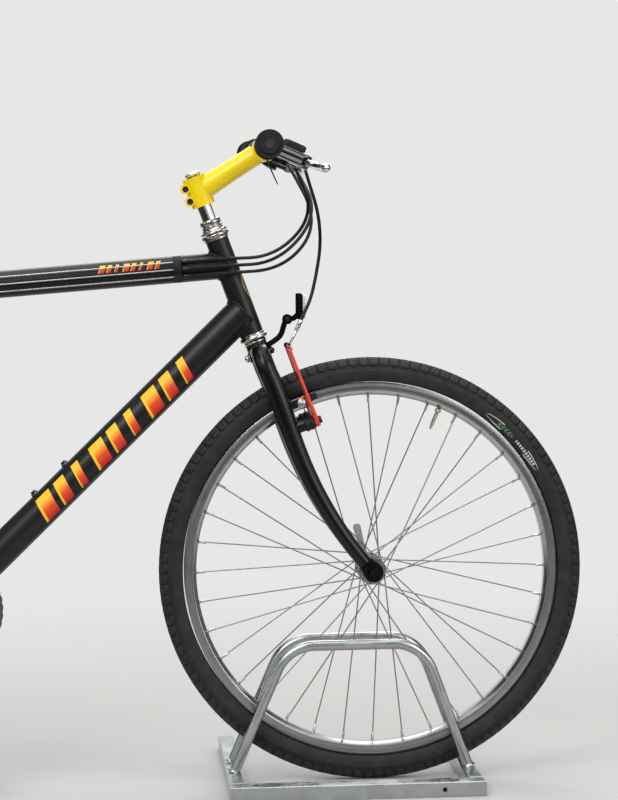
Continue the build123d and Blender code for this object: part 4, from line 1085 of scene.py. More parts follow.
@dataclass
class Wheel:
    """Tyre with its tread, spoke heads, nipples, eyelets and valve of one wheel.

    Attributes:
        valve_angle: the valve's place about the axle.
        flanges: the hub flanges' distances from the wheel's plane, right and left.
        lugs: how many times the tread repeats round the tyre.
        per_lug: rows of points in a lug.
        tread_columns: columns of points across the tread.
        wall_columns: columns of points in each sidewall.
        tread_half: angle round the section from the crown to the tread's edge.
        bead_r: the beads' distance from the axle.
        nipple_r: the nipples' distance from the axle.
        seat_r: the eyelets' distance from the axle.
        seat_y: distance of nipples and eyelets from the wheel's plane.
        nipple_lean: how far the nipples' axes run to their flange's side, for each unit outwards.
        valve_r: distance of the valve's tip from the axle.
        label_angle: place of the tyre's label about the axle.
        first_spoke: place of the first spoke about the axle.
        hole_r: the spoke holes' distance from the axle.
        flange_w: thickness of the flanges.
        cross: angle between a spoke's hole and its nipple.
    """

    name: str
    body: str
    centre: Array
    valve_angle: float
    flanges: tuple[float, float]
    lugs: int = 124
    per_lug: int = 11
    tread_columns: int = 50
    wall_columns: int = 7
    tread_half: float = 1.46
    bead_r: float = 0.2866
    nipple_r: float = 0.2668
    seat_r: float = 0.267
    seat_y: float = 0.0025
    nipple_lean: float = -0.09
    valve_r: float = 0.2325
    label_angle: float = math.radians(41.3)
    spokes: int = 36
    first_spoke: float = math.radians(270)
    hole_r: float = 0.0195
    flange_w: float = 0.0026
    cross: float = math.radians(60)

    def spoke_heads(self) -> bpy.types.Object:
        """Heads of the spokes, on the flange's face that each spoke leaves behind.

        Returns:
            The object with all heads.
        """
        k = np.arange(self.spokes)
        side = np.where(k % 2, -1.0, 1.0)
        lead = np.where((k // 2) % 2, 1.0, -1.0)
        turn = self.first_spoke + around(self.spokes) - lead * self.cross
        flange = np.where(side > 0, self.flanges[1], self.flanges[0])
        face = -side * lead
        y = flange + face * self.flange_w / 2
        spots = np.stack([self.hole_r * np.cos(turn), y, self.hole_r * np.sin(turn)], -1)
        rows = [(0.0020, -0.0001), (0.0021, 0.0005), (0.0014, 0.0011), (0.0005, 0.0012)]
        return turned(f"{self.name}_spoke_heads", rows, spots + self.centre, face[:, None] * SIDE, 10)

    def tread(self, lug: Array, across: Array) -> tuple[Array, Array]:
        """Shoulder blocks with bowed outer edges, parted by grooves, and a ribbed crown of chevrons.

        Each of the tread's cuts is 1 at its middle line and falls evenly to 0 at its edges; the deepest one
        counts.

        Args:
            lug: place within a lug along the tyre, from 0 to 1.
            across: angle round the section from the crown, in radians.

        Returns:
            The depth below the tyre's round in metres, and the painted shade from 0 to 1: the grooves, and a
            crescent just outside each block's bowed edge.
        """
        lug, across = np.broadcast_arrays(lug, across)
        wide = np.abs(across)
        arc = (lug + np.where(across > 0, 0.5, 0.0)) % 1.0 - 0.5
        bow = 0.74 + 0.30 * np.sqrt(np.clip(1 - (arc / 0.5) ** 2, 0, 1))
        outer = np.clip((wide - bow) / 0.05, 0, 1) * np.clip((1.42 - wide) / 0.05, 0, 1)
        gap = np.clip(1 - np.abs(np.abs(arc) - 0.5) / 0.13, 0, 1)
        gap = gap * np.clip((wide - 0.36) / 0.12, 0, 1) * (wide < 1.2)
        ribs = np.clip(1 - np.abs(wide - 0.30) / 0.06, 0, 1)
        chevron = np.clip(1 - np.abs((lug * 2 + wide * 2.2) % 1.0 - 0.5) / 0.14, 0, 1) * (wide < 0.26)
        block = np.clip(1 - np.abs(wide - 0.60) / 0.045, 0, 1) * (np.abs(arc) < 0.36)
        # painted shade: a crescent just outside each block's bowed edge, where the block would shade the
        # sidewall
        foot = np.clip(1 - np.abs(wide - bow - 0.05) / 0.10, 0, 1)
        cut = np.maximum.reduce([outer, gap, ribs, 0.8 * chevron, 0.5 * block])
        depth = 0.0030 * cut + 0.0015 * np.clip((wide - 1.42) / 0.05, 0, 1)
        return depth, np.maximum.reduce([foot, gap, ribs, 0.8 * chevron, 0.6 * block])

    def tyre(self) -> bpy.types.Object:
        """Tyre: a circle section carried round the axle and lowered by the tread's depth.

        Returns:
            The tyre, with the painted shade of its grooves as an attribute.
        """
        half = AT.tyre_w / 2
        mid_r = AT.tyre_r - half
        reach = math.acos((self.bead_r - mid_r) / half)
        count = self.lugs * self.per_lug
        turn = around(count)[:, None]
        wall = np.linspace(reach, self.tread_half, self.wall_columns, endpoint=False)
        crown = np.linspace(-self.tread_half, self.tread_half, self.tread_columns)
        across = np.concatenate([-wall, crown, wall[::-1]])[None]
        lug = (np.arange(count)[:, None] / self.per_lug) % 1.0
        depth, groove = self.tread(lug, across)
        deep = half - depth
        r = mid_r + deep * np.cos(across)
        y = np.broadcast_to(deep * np.sin(across), r.shape)
        points = np.stack([r * np.cos(turn), y, r * np.sin(turn)], -1) + self.centre
        made = surface_mesh(f"{self.name}_tyre_tread", points, True, True)
        shade_layer = made.data.attributes.new("groove", "FLOAT", "POINT")
        shade_layer.data.foreach_set("value", groove.astype(np.float32).ravel())
        return made

    def build(self, dresser: Dresser) -> None:
        """Make and dress the wheel's pieces.

        Args:
            dresser: gives finishes and bodies.
        """
        rubber = TyreRubber(f"{self.name}_tyre_rubber", tuple(self.centre), self.label_angle)
        tyre = dresser.add(self.tyre(), rubber, self.body, "tyre")
        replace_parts(tyre, f"{self.name}_tyre")
        turn = self.first_spoke + around(self.spokes)
        out = np.stack([np.cos(turn), 0 * turn, np.sin(turn)], -1)
        side = np.where(np.arange(self.spokes) % 2, -1.0, 1.0)[:, None] * SIDE
        spots = self.centre + out * self.nipple_r + side * self.seat_y
        rows = [(0.0015, -0.0125), (0.0019, -0.012), (0.0019, -0.004), (0.0022, -0.003), (0.0022, 0.0002)]
        nipples = turned(f"{self.name}_nipples", rows, spots, out + side * self.nipple_lean, 8)
        dresser.add(nipples, STEEL, self.body, "steel")
        spots = self.centre + out * self.seat_r + side * self.seat_y
        rows = [(0.0036, -0.0001), (0.0036, -0.0005), (0.0026, -0.0011), (0.0024, 0.0)]
        dresser.add(turned(f"{self.name}_eyelets", rows, spots, out, 12), CHROME, self.body, "steel")
        dresser.add(self.spoke_heads(), DARK_STEEL, self.body, "steel")
        point = np.array([math.cos(self.valve_angle), 0.0, math.sin(self.valve_angle)])
        rows = [(0.0014, 0.0), (0.0022, 0.001), (0.0022, 0.006), (0.0029, 0.0062), (0.0029, 0.0105),
                (0.0031, 0.011), (0.0031, 0.0275), (0.0045, 0.0278), (0.0048, 0.0300), (0.0048, 0.0325),
                (0.0030, 0.0330), (0.0030, 0.036)]
        valve = turned(f"{self.name}_valve", rows, self.centre + point * self.valve_r, point, 20)
        dresser.add(valve, VALVE, self.body, "steel")


SOCKET_BOLT = [  # radius and height of a unit head, from the seat up and then down into the hexagon socket
    (0.95, 0.0), (1.0, 0.08), (1.0, 0.86), (0.92, 0.98), (0.66, 1.0), (0.52, 1.0), (0.50, 0.45), (0.12, 0.42),
]
HEX_NUT = [  # radius and height for a unit flat radius
    (0.9, 0.0), (1.0, 0.06), (1.0, 0.80), (0.88, 0.92), (0.52, 0.94), (0.50, 1.15), (0.40, 1.22),
]


def bolts(name: str, head_r: float, height: float, places: Any, axes: Any) -> bpy.types.Object:
    """Socket-head bolts: the unit profile scaled by head radius and height, its socket a hexagon."""
    rows = [(r * head_r, h * height) for r, h in SOCKET_BOLT]
    return turned(name, rows, places, axes, 24, hexed=(5, 6))


def nuts(name: str, flat_r: float, height: float, places: Any, axes: Any) -> bpy.types.Object:
    """Hexagon nuts with the end of their bolt: the unit profile scaled by flat radius and height."""
    rows = [(r * flat_r, h * height) for r, h in HEX_NUT]
    return turned(name, rows, places, axes, 24, hexed=(0, 1, 2))


@dataclass
class Cockpit:
    """Small pieces of stem, handlebar and fork crown, and the reflector's holder.

    Attributes:
        ear_q: place of the stem's clamp ears along the reach.
        ear_step: half the distance between the clamp's bolts.
        ear_half: half the ears' width.
        cap_r: radius of the quill's cap.
        bar_end: half the handlebar's length, over its plugs.
        sweep: how far its ends lie back.
        tie_y: the cable tie's place on the handlebar.
        tie_r: radius of the tie's band.
        bolt_below: how far the brake bolt lies below the crown's top.
        crown_r: the crown's radius.
        strap_r: radius of the reflector's strap.
        knuckle_half: half the width of the strap's knuckle.
        box_half: half the sizes of the reflector's box.
    """

    ear_q: float = -0.018
    ear_step: float = 0.010
    ear_half: float = 0.014
    cap_r: float = 0.0125
    bar_end: float = 0.2840
    sweep: float = 0.009
    tie_y: float = -0.036
    tie_r: float = 0.0136
    bolt_below: float = 0.019
    crown_r: float = 0.0160
    strap_r: float = 0.0042
    knuckle_half: float = 0.0065
    box_half: tuple[float, float, float] = (0.028, 0.0195, 0.004)

    def build(self, dresser: Dresser) -> None:
        """Make and dress the pieces.

        Args:
            dresser: gives finishes and bodies.
        """
        self.stem(dresser)
        self.crown(dresser)
        ends = [AT.steer(AT.bar_s, AT.bar_q, y * self.bar_end) - AHEAD * self.sweep for y in SIDES]
        rows = [(0.0066, -0.0006), (0.0066, 0.0002), (0.0060, 0.0005), (0.0056, 0.0003), (0.003, 0.0005)]
        dresser.add(turned("bar_plugs", rows, ends, [-SIDE, SIDE], 40), PLUG, "front_end", "plastic_black")
        self.tie(dresser)
        self.reflector_arm(dresser)

    def stem(self, dresser: Dresser) -> None:
        """Bolts and nuts of the stem's clamp, and the cap of the quill.

        Args:
            dresser: gives finishes and bodies.
        """
        mid = (AT.stem_low_s + AT.stem_high_s) / 2
        right = [AT.steer(mid + side * self.ear_step, self.ear_q, -self.ear_half) for side in SIDES]
        dresser.add(bolts("stem_bolts", 0.0046, 0.0012, right, -SIDE), BOLT, "front_end", "plastic_black")
        left = [p + SIDE * 2 * self.ear_half for p in right]
        dresser.add(nuts("stem_nuts", 0.0042, 0.0025, left, SIDE), STEEL, "front_end", "steel")
        rows = [(self.cap_r, 0.0), (self.cap_r, 0.003), (0.011, 0.0048), (0.006, 0.0056), (0.0042, 0.0056),
                (0.0040, 0.002), (0.001, 0.0018)]
        cap = turned("quill_cap", rows, AT.steer(AT.stem_high_s + 0.002), AT.up, 32, hexed=(4, 5))
        dresser.add(cap, CHROME, "front_end", "chrome")

    def crown(self, dresser: Dresser) -> None:
        """Nuts and washer of the bolt through the fork crown.

        Args:
            dresser: gives finishes and bodies.
        """
        front, back = (AT.steer(AT.crown_s - self.bolt_below, q) for q in (self.crown_r, -self.crown_r))
        dresser.add(nuts("crown_front_nut", 0.0052, 0.0060, front, AT.fwd), BOLT, "front_end", "steel")
        rows = [(0.0078, 0.0), (0.0080, 0.0004), (0.0080, 0.0014), (0.0066, 0.0016)]
        dresser.add(turned("crown_washer", rows, back, -AT.fwd, 28), STEEL, "front_end", "steel")
        nut = nuts("crown_nut", 0.0052, 0.0055, back - AT.fwd * rows[-1][1], -AT.fwd)
        dresser.add(nut, STEEL, "front_end", "steel")

    def reflector_arm(self, dresser: Dresser) -> None:
        """Reflector's holder: a strap that rises in a curve to a round knuckle, and a rounded box.

        Args:
            dresser: gives finishes and bodies.
        """
        knuckle = AT.steer(AT.crown_s + 0.0165, 0.0577)
        corners = [(-0.0330, -0.0405), (-0.0200, -0.0330), (-0.0095, -0.0240), (-0.0060, -0.0110),
                   (-0.0020, 0.0), (0.0080, 0.0005), (0.0125, 0.0030), (0.0172, 0.0080)]
        line = nurbs_line(knuckle + np.array([(x, 0.0, z) for x, z in corners]))
        strap = tube("reflector_strap", line, self.strap_r, 16)
        rows = [(0.0064, 0.0), (0.0076, 0.0010), (0.0076, 0.0120), (0.0064, 0.0130)]
        joint = turned("reflector_knuckle", rows, knuckle - SIDE * self.knuckle_half, SIDE, 36)
        middle = AT.steer(AT.crown_s + 0.022, 0.076) + np.array([0.003, 0.0, 0.008])
        directions = np.stack([SIDE, UPRIGHT, AHEAD])
        box = pillows("reflector_box", [pillow(middle, directions, self.box_half, 0.2)])
        for piece in (strap, joint, box):
            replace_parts(dresser.add(piece, STRAP, "front_end", "plastic_black"), "reflector_bracket")
        spots = [knuckle + SIDE * side * self.knuckle_half for side in SIDES]
        screws = bolts("knuckle_screws", 0.0036, 0.0012, spots, [-SIDE, SIDE])
        dresser.add(screws, BOLT, "front_end", "steel")

    def tie(self, dresser: Dresser) -> None:
        """Cable tie: a band round the handlebar, and its loose tail.

        Args:
            dresser: gives finishes and bodies.
        """
        middle = AT.steer(AT.bar_s, AT.bar_q, self.tie_y)
        turn = around(40)[:, None]
        ring = middle + self.tie_r * (np.cos(turn) * AHEAD + np.sin(turn) * UPRIGHT)
        dresser.add(tube("tie_band", ring, 0.0011, 10, True), PLASTIC, "front_end", "plastic_black")
        foot = middle + np.array([0.0, -0.002, -0.0125])
        corners = np.array([(0.0, 0.0, 0.0), (0.003, -0.002, -0.014), (0.0165, -0.002, -0.042)])
        line = nurbs_line(foot + corners)
        tail = tube("tie_tail", line, np.linspace(0.0014, 0.0009, len(line)), 10)
        dresser.add(tail, PLASTIC, "front_end", "plastic_black")


@dataclass
class Controls:
    """Smooth brake levers with round ends, and the small pieces of levers and shifters.

    Attributes:
        bar_half: half the handlebar's length.
        sweep: how far its ends lie back.
        straight: half the length of its straight middle.
        drop: slope of the levers below the level.
        mount_at: the lever mounts' distance from the bar's end.
        pod_at: the shifters' distance from the bar's end.
        body_t: thickness of the lever mounts.
        brake_barrel: reach of a lever's barrel, and the distance of its mouth inwards.
        shift_barrel: the same of a shifter's barrel.
        blade: reach and distance outwards of the lever's line, from its pivot to its tip.
        round_from: share of the lever's length where its round tip begins.
    """

    bar_half: float = 0.280
    sweep: float = 0.009
    straight: float = 0.046
    drop: float = math.radians(24)
    mount_at: float = 0.129
    pod_at: float = 0.165
    body_t: float = 0.020
    brake_barrel: tuple[float, float] = (0.060, 0.0263)
    shift_barrel: tuple[float, float] = (0.042, 0.0283)
    blade: tuple[tuple[float, float], ...] = ((0.055, 0.002), (0.071, 0.014), (0.080, 0.048), (0.086, 0.098))
    round_from: float = 0.95

    def frame(self, side: float, from_end: float) -> Array:
        """Place on the bar and the directions there.

        Args:
            side: 1 for the left half of the bar, -1 for the right.
            from_end: distance from the bar's end.

        Returns:
            The place and the directions forwards, outwards and up, as rows.
        """
        middle = AT.steer(AT.bar_s, AT.bar_q)
        end = middle + np.array([-self.sweep, side * self.bar_half, 0.0])
        out = unit(end - middle - SIDE * side * self.straight)
        reach = np.array([math.cos(self.drop), 0.0, -math.sin(self.drop)])
        return np.stack([end - out * from_end, reach, SIDE * side, np.cross(reach, SIDE)])

    def mouth(self, side: float, from_end: float, barrel: tuple[float, float]) -> Array:
        """Mouth of a control's barrel, where its housing begins."""
        at, reach, out, _ = self.frame(side, from_end)
        return at + reach * barrel[0] - out * barrel[1]

    def lever(self, side: float) -> Array:
        """Line of a lever."""
        at, reach, out, _ = self.frame(side, self.mount_at)
        return nurbs_line(np.array([at + reach * x + out * y for x, y in self.blade]), 16)

    def blades(self, dresser: Dresser) -> None:
        """Levers: round bars that thicken with the square of their length, and end in half a ball.

        Args:
            dresser: gives finishes and bodies.
        """
        lines = np.stack([self.lever(side) for side in SIDES])
        share = np.linspace(0, 1, lines.shape[1])
        body = 0.0056 + 0.0014 * share**2
        tip = np.sqrt(np.clip(1 - ((share - self.round_from) / 0.0515) ** 2, 0.02, 1)) * 0.0069
        radius = np.where(share > self.round_from, tip, body)
        levers = tube("lever_blades", lines, radius, 20, helper=np.array([0.2, 0.1, 1.0]))
        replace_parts(dresser.add(levers, CHROME, "front_end", "alloy"), "brake_levers")

    def build(self, dresser: Dresser) -> None:
        """Make and dress the pieces.

        Args:
            dresser: gives finishes and bodies.
        """
        self.blades(dresser)
        covers, screws, barrels, windows, slots = [], [], [], [], []
        for side in SIDES:
            at, reach, out, over = self.frame(side, self.mount_at)
            pivot = at + reach * self.blade[0][0] + out * self.blade[0][1]
            screws.append((pivot + over * self.body_t / 2, over))
            screws.append((pivot - over * self.body_t / 2, -over))
            screws.append((at + reach * 0.018 + over * self.body_t / 2, over))
            barrels.append((at + reach * self.brake_barrel[0] - out * 0.018, -out))
            rows = np.stack([reach, over, out])
            slots += [pillow(at + reach * 0.034 + out * 0.0117 + over * h, rows, (0.022, w, 0.0007))
                      for h, w in ((0.0015, 0.0021), (-0.0062, 0.0013), (0.0082, 0.0008))]
            at, reach, out, over = self.frame(side, self.pod_at)
            barrels.append((at + reach * self.shift_barrel[0] - out * 0.020, -out))
            rows = np.stack([reach, out, over])
            covers.append(pillow(at + reach * 0.036 + over * 0.0145, rows, (0.018, 0.013, 0.0085)))
            windows.append(pillow(at + reach * 0.038 + over * 0.0222, rows, (0.011, 0.003, 0.0012)))
        places, axes = (np.stack(v) for v in zip(*screws))
        dresser.add(bolts("lever_screws", 0.0042, 0.0014, places, axes), STEEL, "front_end", "steel")
        places, axes = (np.stack(v) for v in zip(*barrels))
        ribs = [(0.0054 - 0.0007 * (i % 2), 0.0008 + 0.0011 * i) for i in range(7)]
        knurl = [(0.0042, 0.0), *ribs, (0.0036, 0.0084)]
        dresser.add(turned("barrel_adjusters", knurl, places, axes, 24), BOLT, "front_end", "steel")
        dresser.add(pillows("shifter_covers", covers), PLASTIC, "front_end", "plastic_black")
        dresser.add(pillows("lever_slots", slots), PLASTIC, "front_end", "plastic_black")
        dresser.add(pillows("shifter_windows", windows), ALLOY, "front_end", "alloy")


@dataclass
class RimBrake:
    """One pair of brake arms with their bolts, nuts, springs and bellows.

    Attributes:
        origin: the point that heights and reaches are measured from.
        up: direction along the arms.
        out: direction away from the tubes that carry the bosses.
        tube_q: place of those tubes along out.
        tube_r: their radius.
        boss_y: the bosses' distance from the wheel's plane.
        axle_q: the axle's place along out.
        track_r: radius of the rim's brake track.
        boss_s: the bosses' height.
        arm_length: distance from an arm's pivot to its top.
        arm_t: an arm's thickness at its foot.
        boss_length: how far the bosses stand out of their tubes.
        top_y: distance of the arms' tops from the wheel's plane.
        foot_w: half the width of an arm's foot.
        top_w: half the width of its top.
        top_half: half its thickness above.
        noodle_up: height of the noodle over the arms' tops.
        spring_up: height of the springs' tips over the bosses.
    """

    name: str
    body: str
    origin: Array
    up: Array
    out: Array
    tube_q: float
    tube_r: float
    boss_y: float
    axle_q: float
    track_r: float = 0.2789
    boss_s: float = 0.2459
    arm_length: float = 0.112
    arm_t: float = 0.008
    boss_length: float = 0.0245
    top_y: float = 0.034
    foot_w: float = 0.0092
    top_w: float = 0.0052
    top_half: float = 0.0027
    noodle_up: float = 0.0078
    spring_up: float = 0.062

    @property
    def front(self) -> float:
        """Place of the arms' outer face along out."""
        return self.tube_q + self.tube_r + self.boss_length + self.arm_t

    @property
    def middle(self) -> float:
        """Place of the arms' middle along out."""
        return self.front - self.arm_t / 2

    def at(self, s: float, q: float, y: float) -> Array:
        """Point at height s, reach q and side y."""
        return self.origin + self.up * s + self.out * q + SIDE * y

    def noodle(self) -> tuple[Array, Array]:
        """Mouth of the noodle, where the housing ends.

        Returns:
            The mouth, and the direction out of it.
        """
        s = self.boss_s + self.arm_length + self.noodle_up
        bend = self.at(s, self.middle, -self.top_y - 0.018)
        mouth = self.at(s + 0.034, self.middle + 0.035, -self.top_y - 0.010)
        way = unit(mouth - bend)
        return mouth + way * 0.0003, way

    def arm(self, side: float) -> Array:
        """Points of an arm: rounded sections from its foot to its top, narrower and thinner upwards.

        Args:
            side: 1 for the left arm, -1 for the right.

        Returns:
            A grid of sections.
        """
        foot = -np.cos(np.linspace(0, np.pi / 2, 7))
        t = np.concatenate([foot, np.linspace(0, 1, 26)[1:], [1.03, 1.05]])[:, None]
        s = np.where(t < 0, t * self.foot_w, t * self.arm_length) + self.boss_s
        share = np.clip(t, 0, 1)
        y = self.boss_y + 0.006 * np.sin(np.pi * share) * (1 - share)
        y = y + (self.top_y - self.boss_y) * share**1.6
        low_end = np.sqrt(np.clip(1 - t * t, 0.01, 1))
        top_end = np.sqrt(np.clip(1 - ((t - 1) / 0.052) ** 2, 0.05, 1))
        end = np.where(t < 0, low_end, np.where(t > 1, top_end, 1.0))
        wide = end * (self.foot_w + (self.top_w - self.foot_w) * share**0.6)
        thick = self.arm_t / 2 + (self.top_half - self.arm_t / 2) * np.clip(share / 0.35, 0, 1)
        angle = around(28)[None]
        c, d = (np.sign(v) * np.abs(v) ** 0.5 for v in (np.cos(angle), np.sin(angle)))
        return (self.origin + s[..., None] * self.up + (self.middle + thick * d)[..., None] * self.out
                + (side * y + wide * c)[..., None] * SIDE)

    def build(self, dresser: Dresser) -> None:
        """Make and dress the arms and their hardware.

        Args:
            dresser: gives finishes and bodies.
        """
        grids = np.stack([self.arm(side) for side in SIDES])
        made = surface_mesh(f"{self.name}_arm_forgings", grids, False, True, caps=True)
        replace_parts(dresser.add(made, RED, self.body, "brake_red"), f"{self.name}_arms")
        pivots = [self.at(self.boss_s, self.front, side * self.boss_y) for side in SIDES]
        made = bolts(f"{self.name}_pivot_bolts", 0.0058, 0.0042, pivots, self.out)
        dresser.add(made, BOLT, self.body, "steel")
        collar = [(0.0096, 0.0), (0.0110, 0.0010), (0.0110, 0.0060), (0.0102, 0.0066), (0.0102, 0.0084),
                  (0.0110, 0.0090), (0.0110, 0.0138), (0.0098, 0.0150)]
        behind = [p - self.out * (self.arm_t + 0.0152) for p in pivots]
        made = turned(f"{self.name}_spring_covers", collar, behind, self.out, 32)
        dresser.add(made, PLASTIC, self.body, "plastic_black")
        self.pad_mounts(dresser)
        anchor = self.at(self.boss_s + self.arm_length, self.middle + self.top_half, self.top_y)
        made = bolts(f"{self.name}_anchor", 0.0048, 0.0048, anchor, self.out)
        dresser.add(made, STEEL, self.body, "steel")
        start = self.at(self.boss_s + self.arm_length + self.noodle_up, self.middle, -0.018)
        folds = [(0.0030 + 0.0011 * (i % 2), 0.0012 + 0.0016 * i) for i in range(19)]
        bellow = [(0.0018, 0.0), *folds, (0.0018, 0.0318)]
        dresser.add(turned(f"{self.name}_bellow", bellow, start, SIDE, 20), PAD, self.body, "rubber")
        self.springs(dresser, pivots)

    def pad_mounts(self, dresser: Dresser) -> None:
        """Ears of the arms where the pads sit, with the pads' washers and nuts.

        Args:
            dresser: gives finishes and bodies.
        """
        stud_q = self.front - self.arm_t - 0.008
        pad_s = math.sqrt(self.track_r**2 - (stud_q - self.axle_q) ** 2)
        directions = np.stack([SIDE, self.out, self.up])
        middles = [self.at(pad_s, stud_q + 0.004, side * self.boss_y) for side in SIDES]
        ears = [pillow(middle, directions, (0.006, 0.008, 0.009)) for middle in middles]
        made = pillows(f"{self.name}_arm_ears", ears)
        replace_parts(dresser.add(made, RED, self.body, "brake_red"), f"{self.name}_arms")
        ways = np.outer(SIDES, SIDE)
        seats = np.stack([self.at(pad_s, stud_q, side * (self.boss_y + 0.006)) for side in SIDES])
        washer = [(0.0066, 0.0), (0.0072, 0.0006), (0.0072, 0.0022), (0.0058, 0.0030)]
        dresser.add(turned(f"{self.name}_pad_washers", washer, seats, ways, 28), STEEL, self.body, "steel")
        made = nuts(f"{self.name}_pad_nuts", 0.0050, 0.0052, seats + ways * washer[-1][1], ways)
        dresser.add(made, STEEL, self.body, "steel")

    def springs(self, dresser: Dresser, pivots: Sequence[Array]) -> None:
        """Straight wires from the spring covers up along the arms.

        Args:
            dresser: gives finishes and bodies.
            pivots: the arms' pivots, right and left.
        """
        along = np.linspace(0, 1, 31)[:, None]
        wires = []
        for side, pivot in zip(SIDES, pivots):
            foot = pivot - self.out * (self.arm_t + 0.004) + SIDE * side * 0.0104
            tip = self.at(self.boss_s + self.spring_up, self.middle - 0.0036, side * (self.boss_y + 0.007))
            wires.append(foot + along * (tip - foot))
        made = tube(f"{self.name}_springs", np.stack(wires), 0.0009, 8, helper=self.out + 0.1 * SIDE)
        dresser.add(made, BOLT, self.body, "steel")


@dataclass(frozen=True)
class Crossing:
    """Housing that crosses the steering, from a control to its stop on the top tube.

    Attributes:
        side: side of the control, 1 for the left and -1 for the right.
        from_end: the control's distance from the bar's end.
        barrel: reach of its barrel and distance of the mouth inwards.
        angle: the stop's angle from the top tube's top.
        front: height, reach and side of the loop's front corner.
        low: the same of its low corner.
    """

    side: float
    from_end: float
    barrel: tuple[float, float]
    angle: float
    front: tuple[float, float, float]
    low: tuple[float, float, float]


